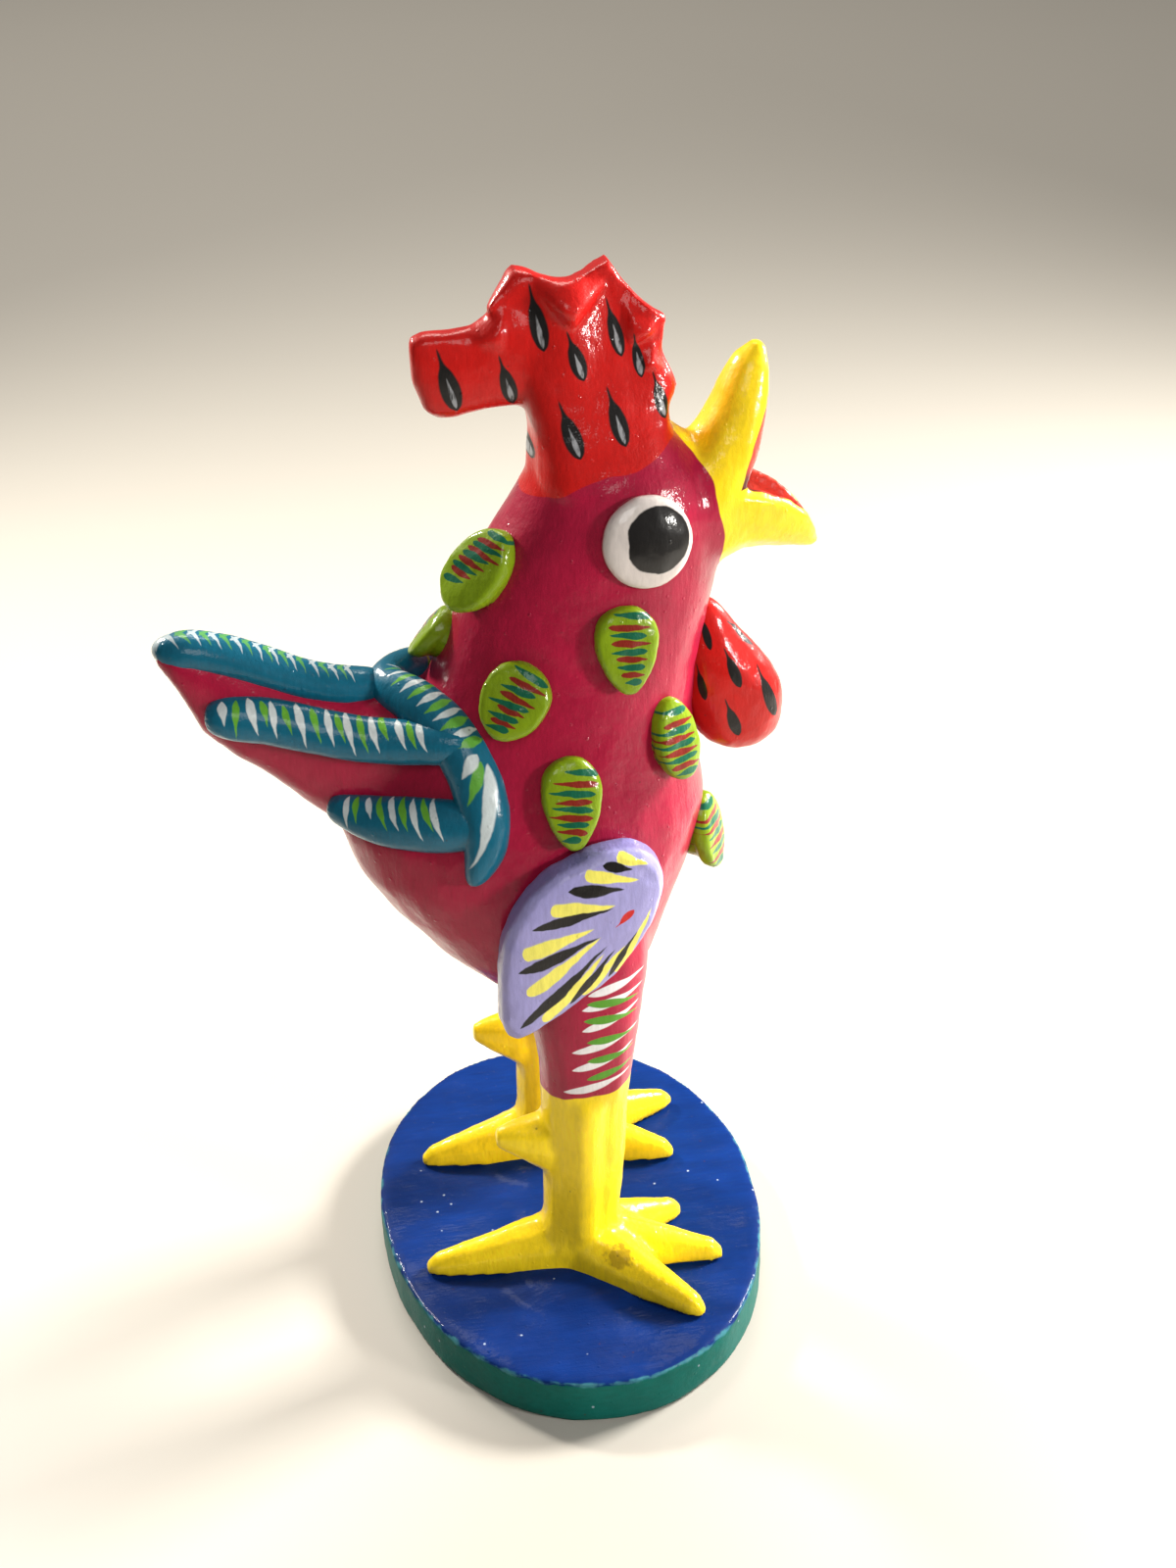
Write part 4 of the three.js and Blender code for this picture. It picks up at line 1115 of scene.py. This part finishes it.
# How far along the top roll its pairs of dabs lie, and how far apart those on the band lie. The
# band's left side is bare of them this far down from its top.
ACROSS_TOP = (2.2, 5, 7.7, 10.6, 13.7, 16.1, 18.9, 22.5, 25.5, 28.2)
BAND_STEP = 1.58
BARE_TOP = 7.5


def rolled(name, route, thickness):
    """A roll through the route's places, with its own "flat" attribute: how far along it, how far
    across it and how far out each point lies."""
    rings, measures, run = [], [], 0
    for k, (x, y, z, half) in enumerate(route):
        middle = Vector((x, y, z))
        before = Vector(route[max(k - 1, 0)][:3])
        after = Vector(route[min(k + 1, len(route) - 1)][:3])
        along = (after - before).normalized()
        out = Vector((-4, y, 5)) if abs(y) > 0.01 else Vector((0, 0, 1))
        wide = along.cross(out).normalized()
        out = wide.cross(along).normalized()
        thin = thickness * min(1, 0.35 + half / 4.5)
        rings.append((middle * MM, wide * half * MM, out * thin * MM))
        run += (middle - before).length
        for i in range(ROLL_SIDES):
            measures.append((middle, along, wide, out, run))
    piece = through_rings(name, rings, ROLL_SIDES)
    flat = piece.data.attributes.new("flat", "FLOAT_VECTOR", "POINT")
    for vertex, place, (middle, along, wide, out, far) in zip(piece.data.vertices, flat.data, measures):
        off = vertex.co / MM - middle
        place.vector = (far + off.dot(along), off.dot(wide), off.dot(out))
    apply(piece, "SUBSURF", levels=3, render_levels=3)
    knead(piece, 4, 0.3)
    return piece


def roll_paint(name, white, green, flat_of=flat_place, halves=(0.56, 0.54), strength=0.92, above=None):
    """Petrol blue with green dabs and then white ones, given as on the flattened roll."""
    material, tree, place, brush = varnish(name)
    flat = flat_of(tree)
    colour = PETROL
    for marks, half, paint in ((green, halves[1], ROLL_GREEN), (white, halves[0], ROLL_WHITE)):
        amount = calc(tree, "MULTIPLY", dabs(tree, flat, marks, half, LEAF, 0.18, above), strength)
        colour = layer(tree, amount, colour, paint)
    finish_paint(tree, place, brush, colour)
    return material


def upside(tree):
    """The place on the flattened roll, with its lower edge up: the left side's rolls run the other way."""
    parts = node(tree, "SeparateXYZ", {0: flat_place(tree)})
    turned = calc(tree, "MULTIPLY", parts.outputs["Y"], -1)
    return node(tree, "CombineXYZ", {"X": parts.outputs["X"], "Y": turned}).outputs["Vector"]


for name, route, white, green in (
    ("tail_roll_middle", MIDDLE_ROLL, MIDDLE_WHITE, MIDDLE_GREEN),
    ("tail_roll_lower", LOWER_ROLL, LOWER_WHITE, LOWER_GREEN),
):
    for side, word, flat_of in ((-1, "right", flat_place), (1, "left", upside)):
        places = [(x, side * y, z, half) for x, y, z, half in route + (PAST_BAND[name],)]
        piece = rolled("painted_" + name + "_" + word, places, ROLL_THICKNESS)
        settle(piece)
        paint = roll_paint(name + "_" + word + "_paint", white, green, flat_of)
        stand_for(piece, name + "_" + word, paint)
top = rolled("painted_tail_roll_top", TOP_ROLL + (PAST_BAND["tail_roll_top"],), ROLL_THICKNESS)
settle(top)
across_top = [((k + 1.5, side * 2.9), (k - 0.4, side * -0.9)) for k in ACROSS_TOP for side in (1, -1)]
between_top = [((k + 2.9, side * 2.7), (k + 1.1, side * -0.8)) for k in ACROSS_TOP[:9] for side in (1, -1)]
# The last two dabs make the roll's tip white: partly white paint, and partly a painted highlight of the
# glare on the varnished tip.
across_top += [((-0.2, 3), (0.9, -2.8), 1.5), ((0.9, 1.8), (2, -2.5), 0.8)]
top_paint = roll_paint("tail_roll_top_paint", across_top, between_top, halves=(0.34, 0.36), strength=0.62)
stand_for(top, "tail_roll_top", top_paint)

band_route = [(x, -y, z, half) for x, y, z, half in reversed(BAND)] + list(BAND[1:])
band = rolled("painted_tail_band", band_route, BAND_THICKNESS)
settle(band)
half_length = sum((Vector(a[:3]) - Vector(b[:3])).length for a, b in zip(BAND, BAND[1:]))



def from_the_top(tree):
    """The place on the band, measured each way from its middle over the tail."""
    parts = node(tree, "SeparateXYZ", {0: flat_place(tree)})
    beyond = calc(tree, "SUBTRACT", parts.outputs["X"], half_length)
    before = calc(tree, "MULTIPLY", beyond, -1)
    painted = calc(tree, "MAXIMUM", before, calc(tree, "SUBTRACT", beyond, BARE_TOP))
    moved = {"X": calc(tree, "ABSOLUTE", beyond), "Y": parts.outputs["Y"], "Z": painted}
    return node(tree, "CombineXYZ", moved).outputs["Vector"]


band_white = [((k * BAND_STEP, -0.2), (k * BAND_STEP + 0.9, 3.9), 0.3 + 0.03 * k) for k in range(0, 11, 2)]
band_green = [((k * BAND_STEP, -0.3), (k * BAND_STEP + 0.8, 3.8), 0.32 + 0.035 * k) for k in range(1, 12, 2)]
band_white += [((21.9, -1.5), (19.6, 2.4), 0.95), ((36.5, -1.5), (21, 3.1), 1)]
band_green += [((26.2, -1.9), (20.6, 2.4), 0.9)]
band_paint = roll_paint("tail_band_paint", band_white, band_green, from_the_top, (0.62, 0.6), 0.85, 0)
stand_for(band, "tail_band", band_paint)
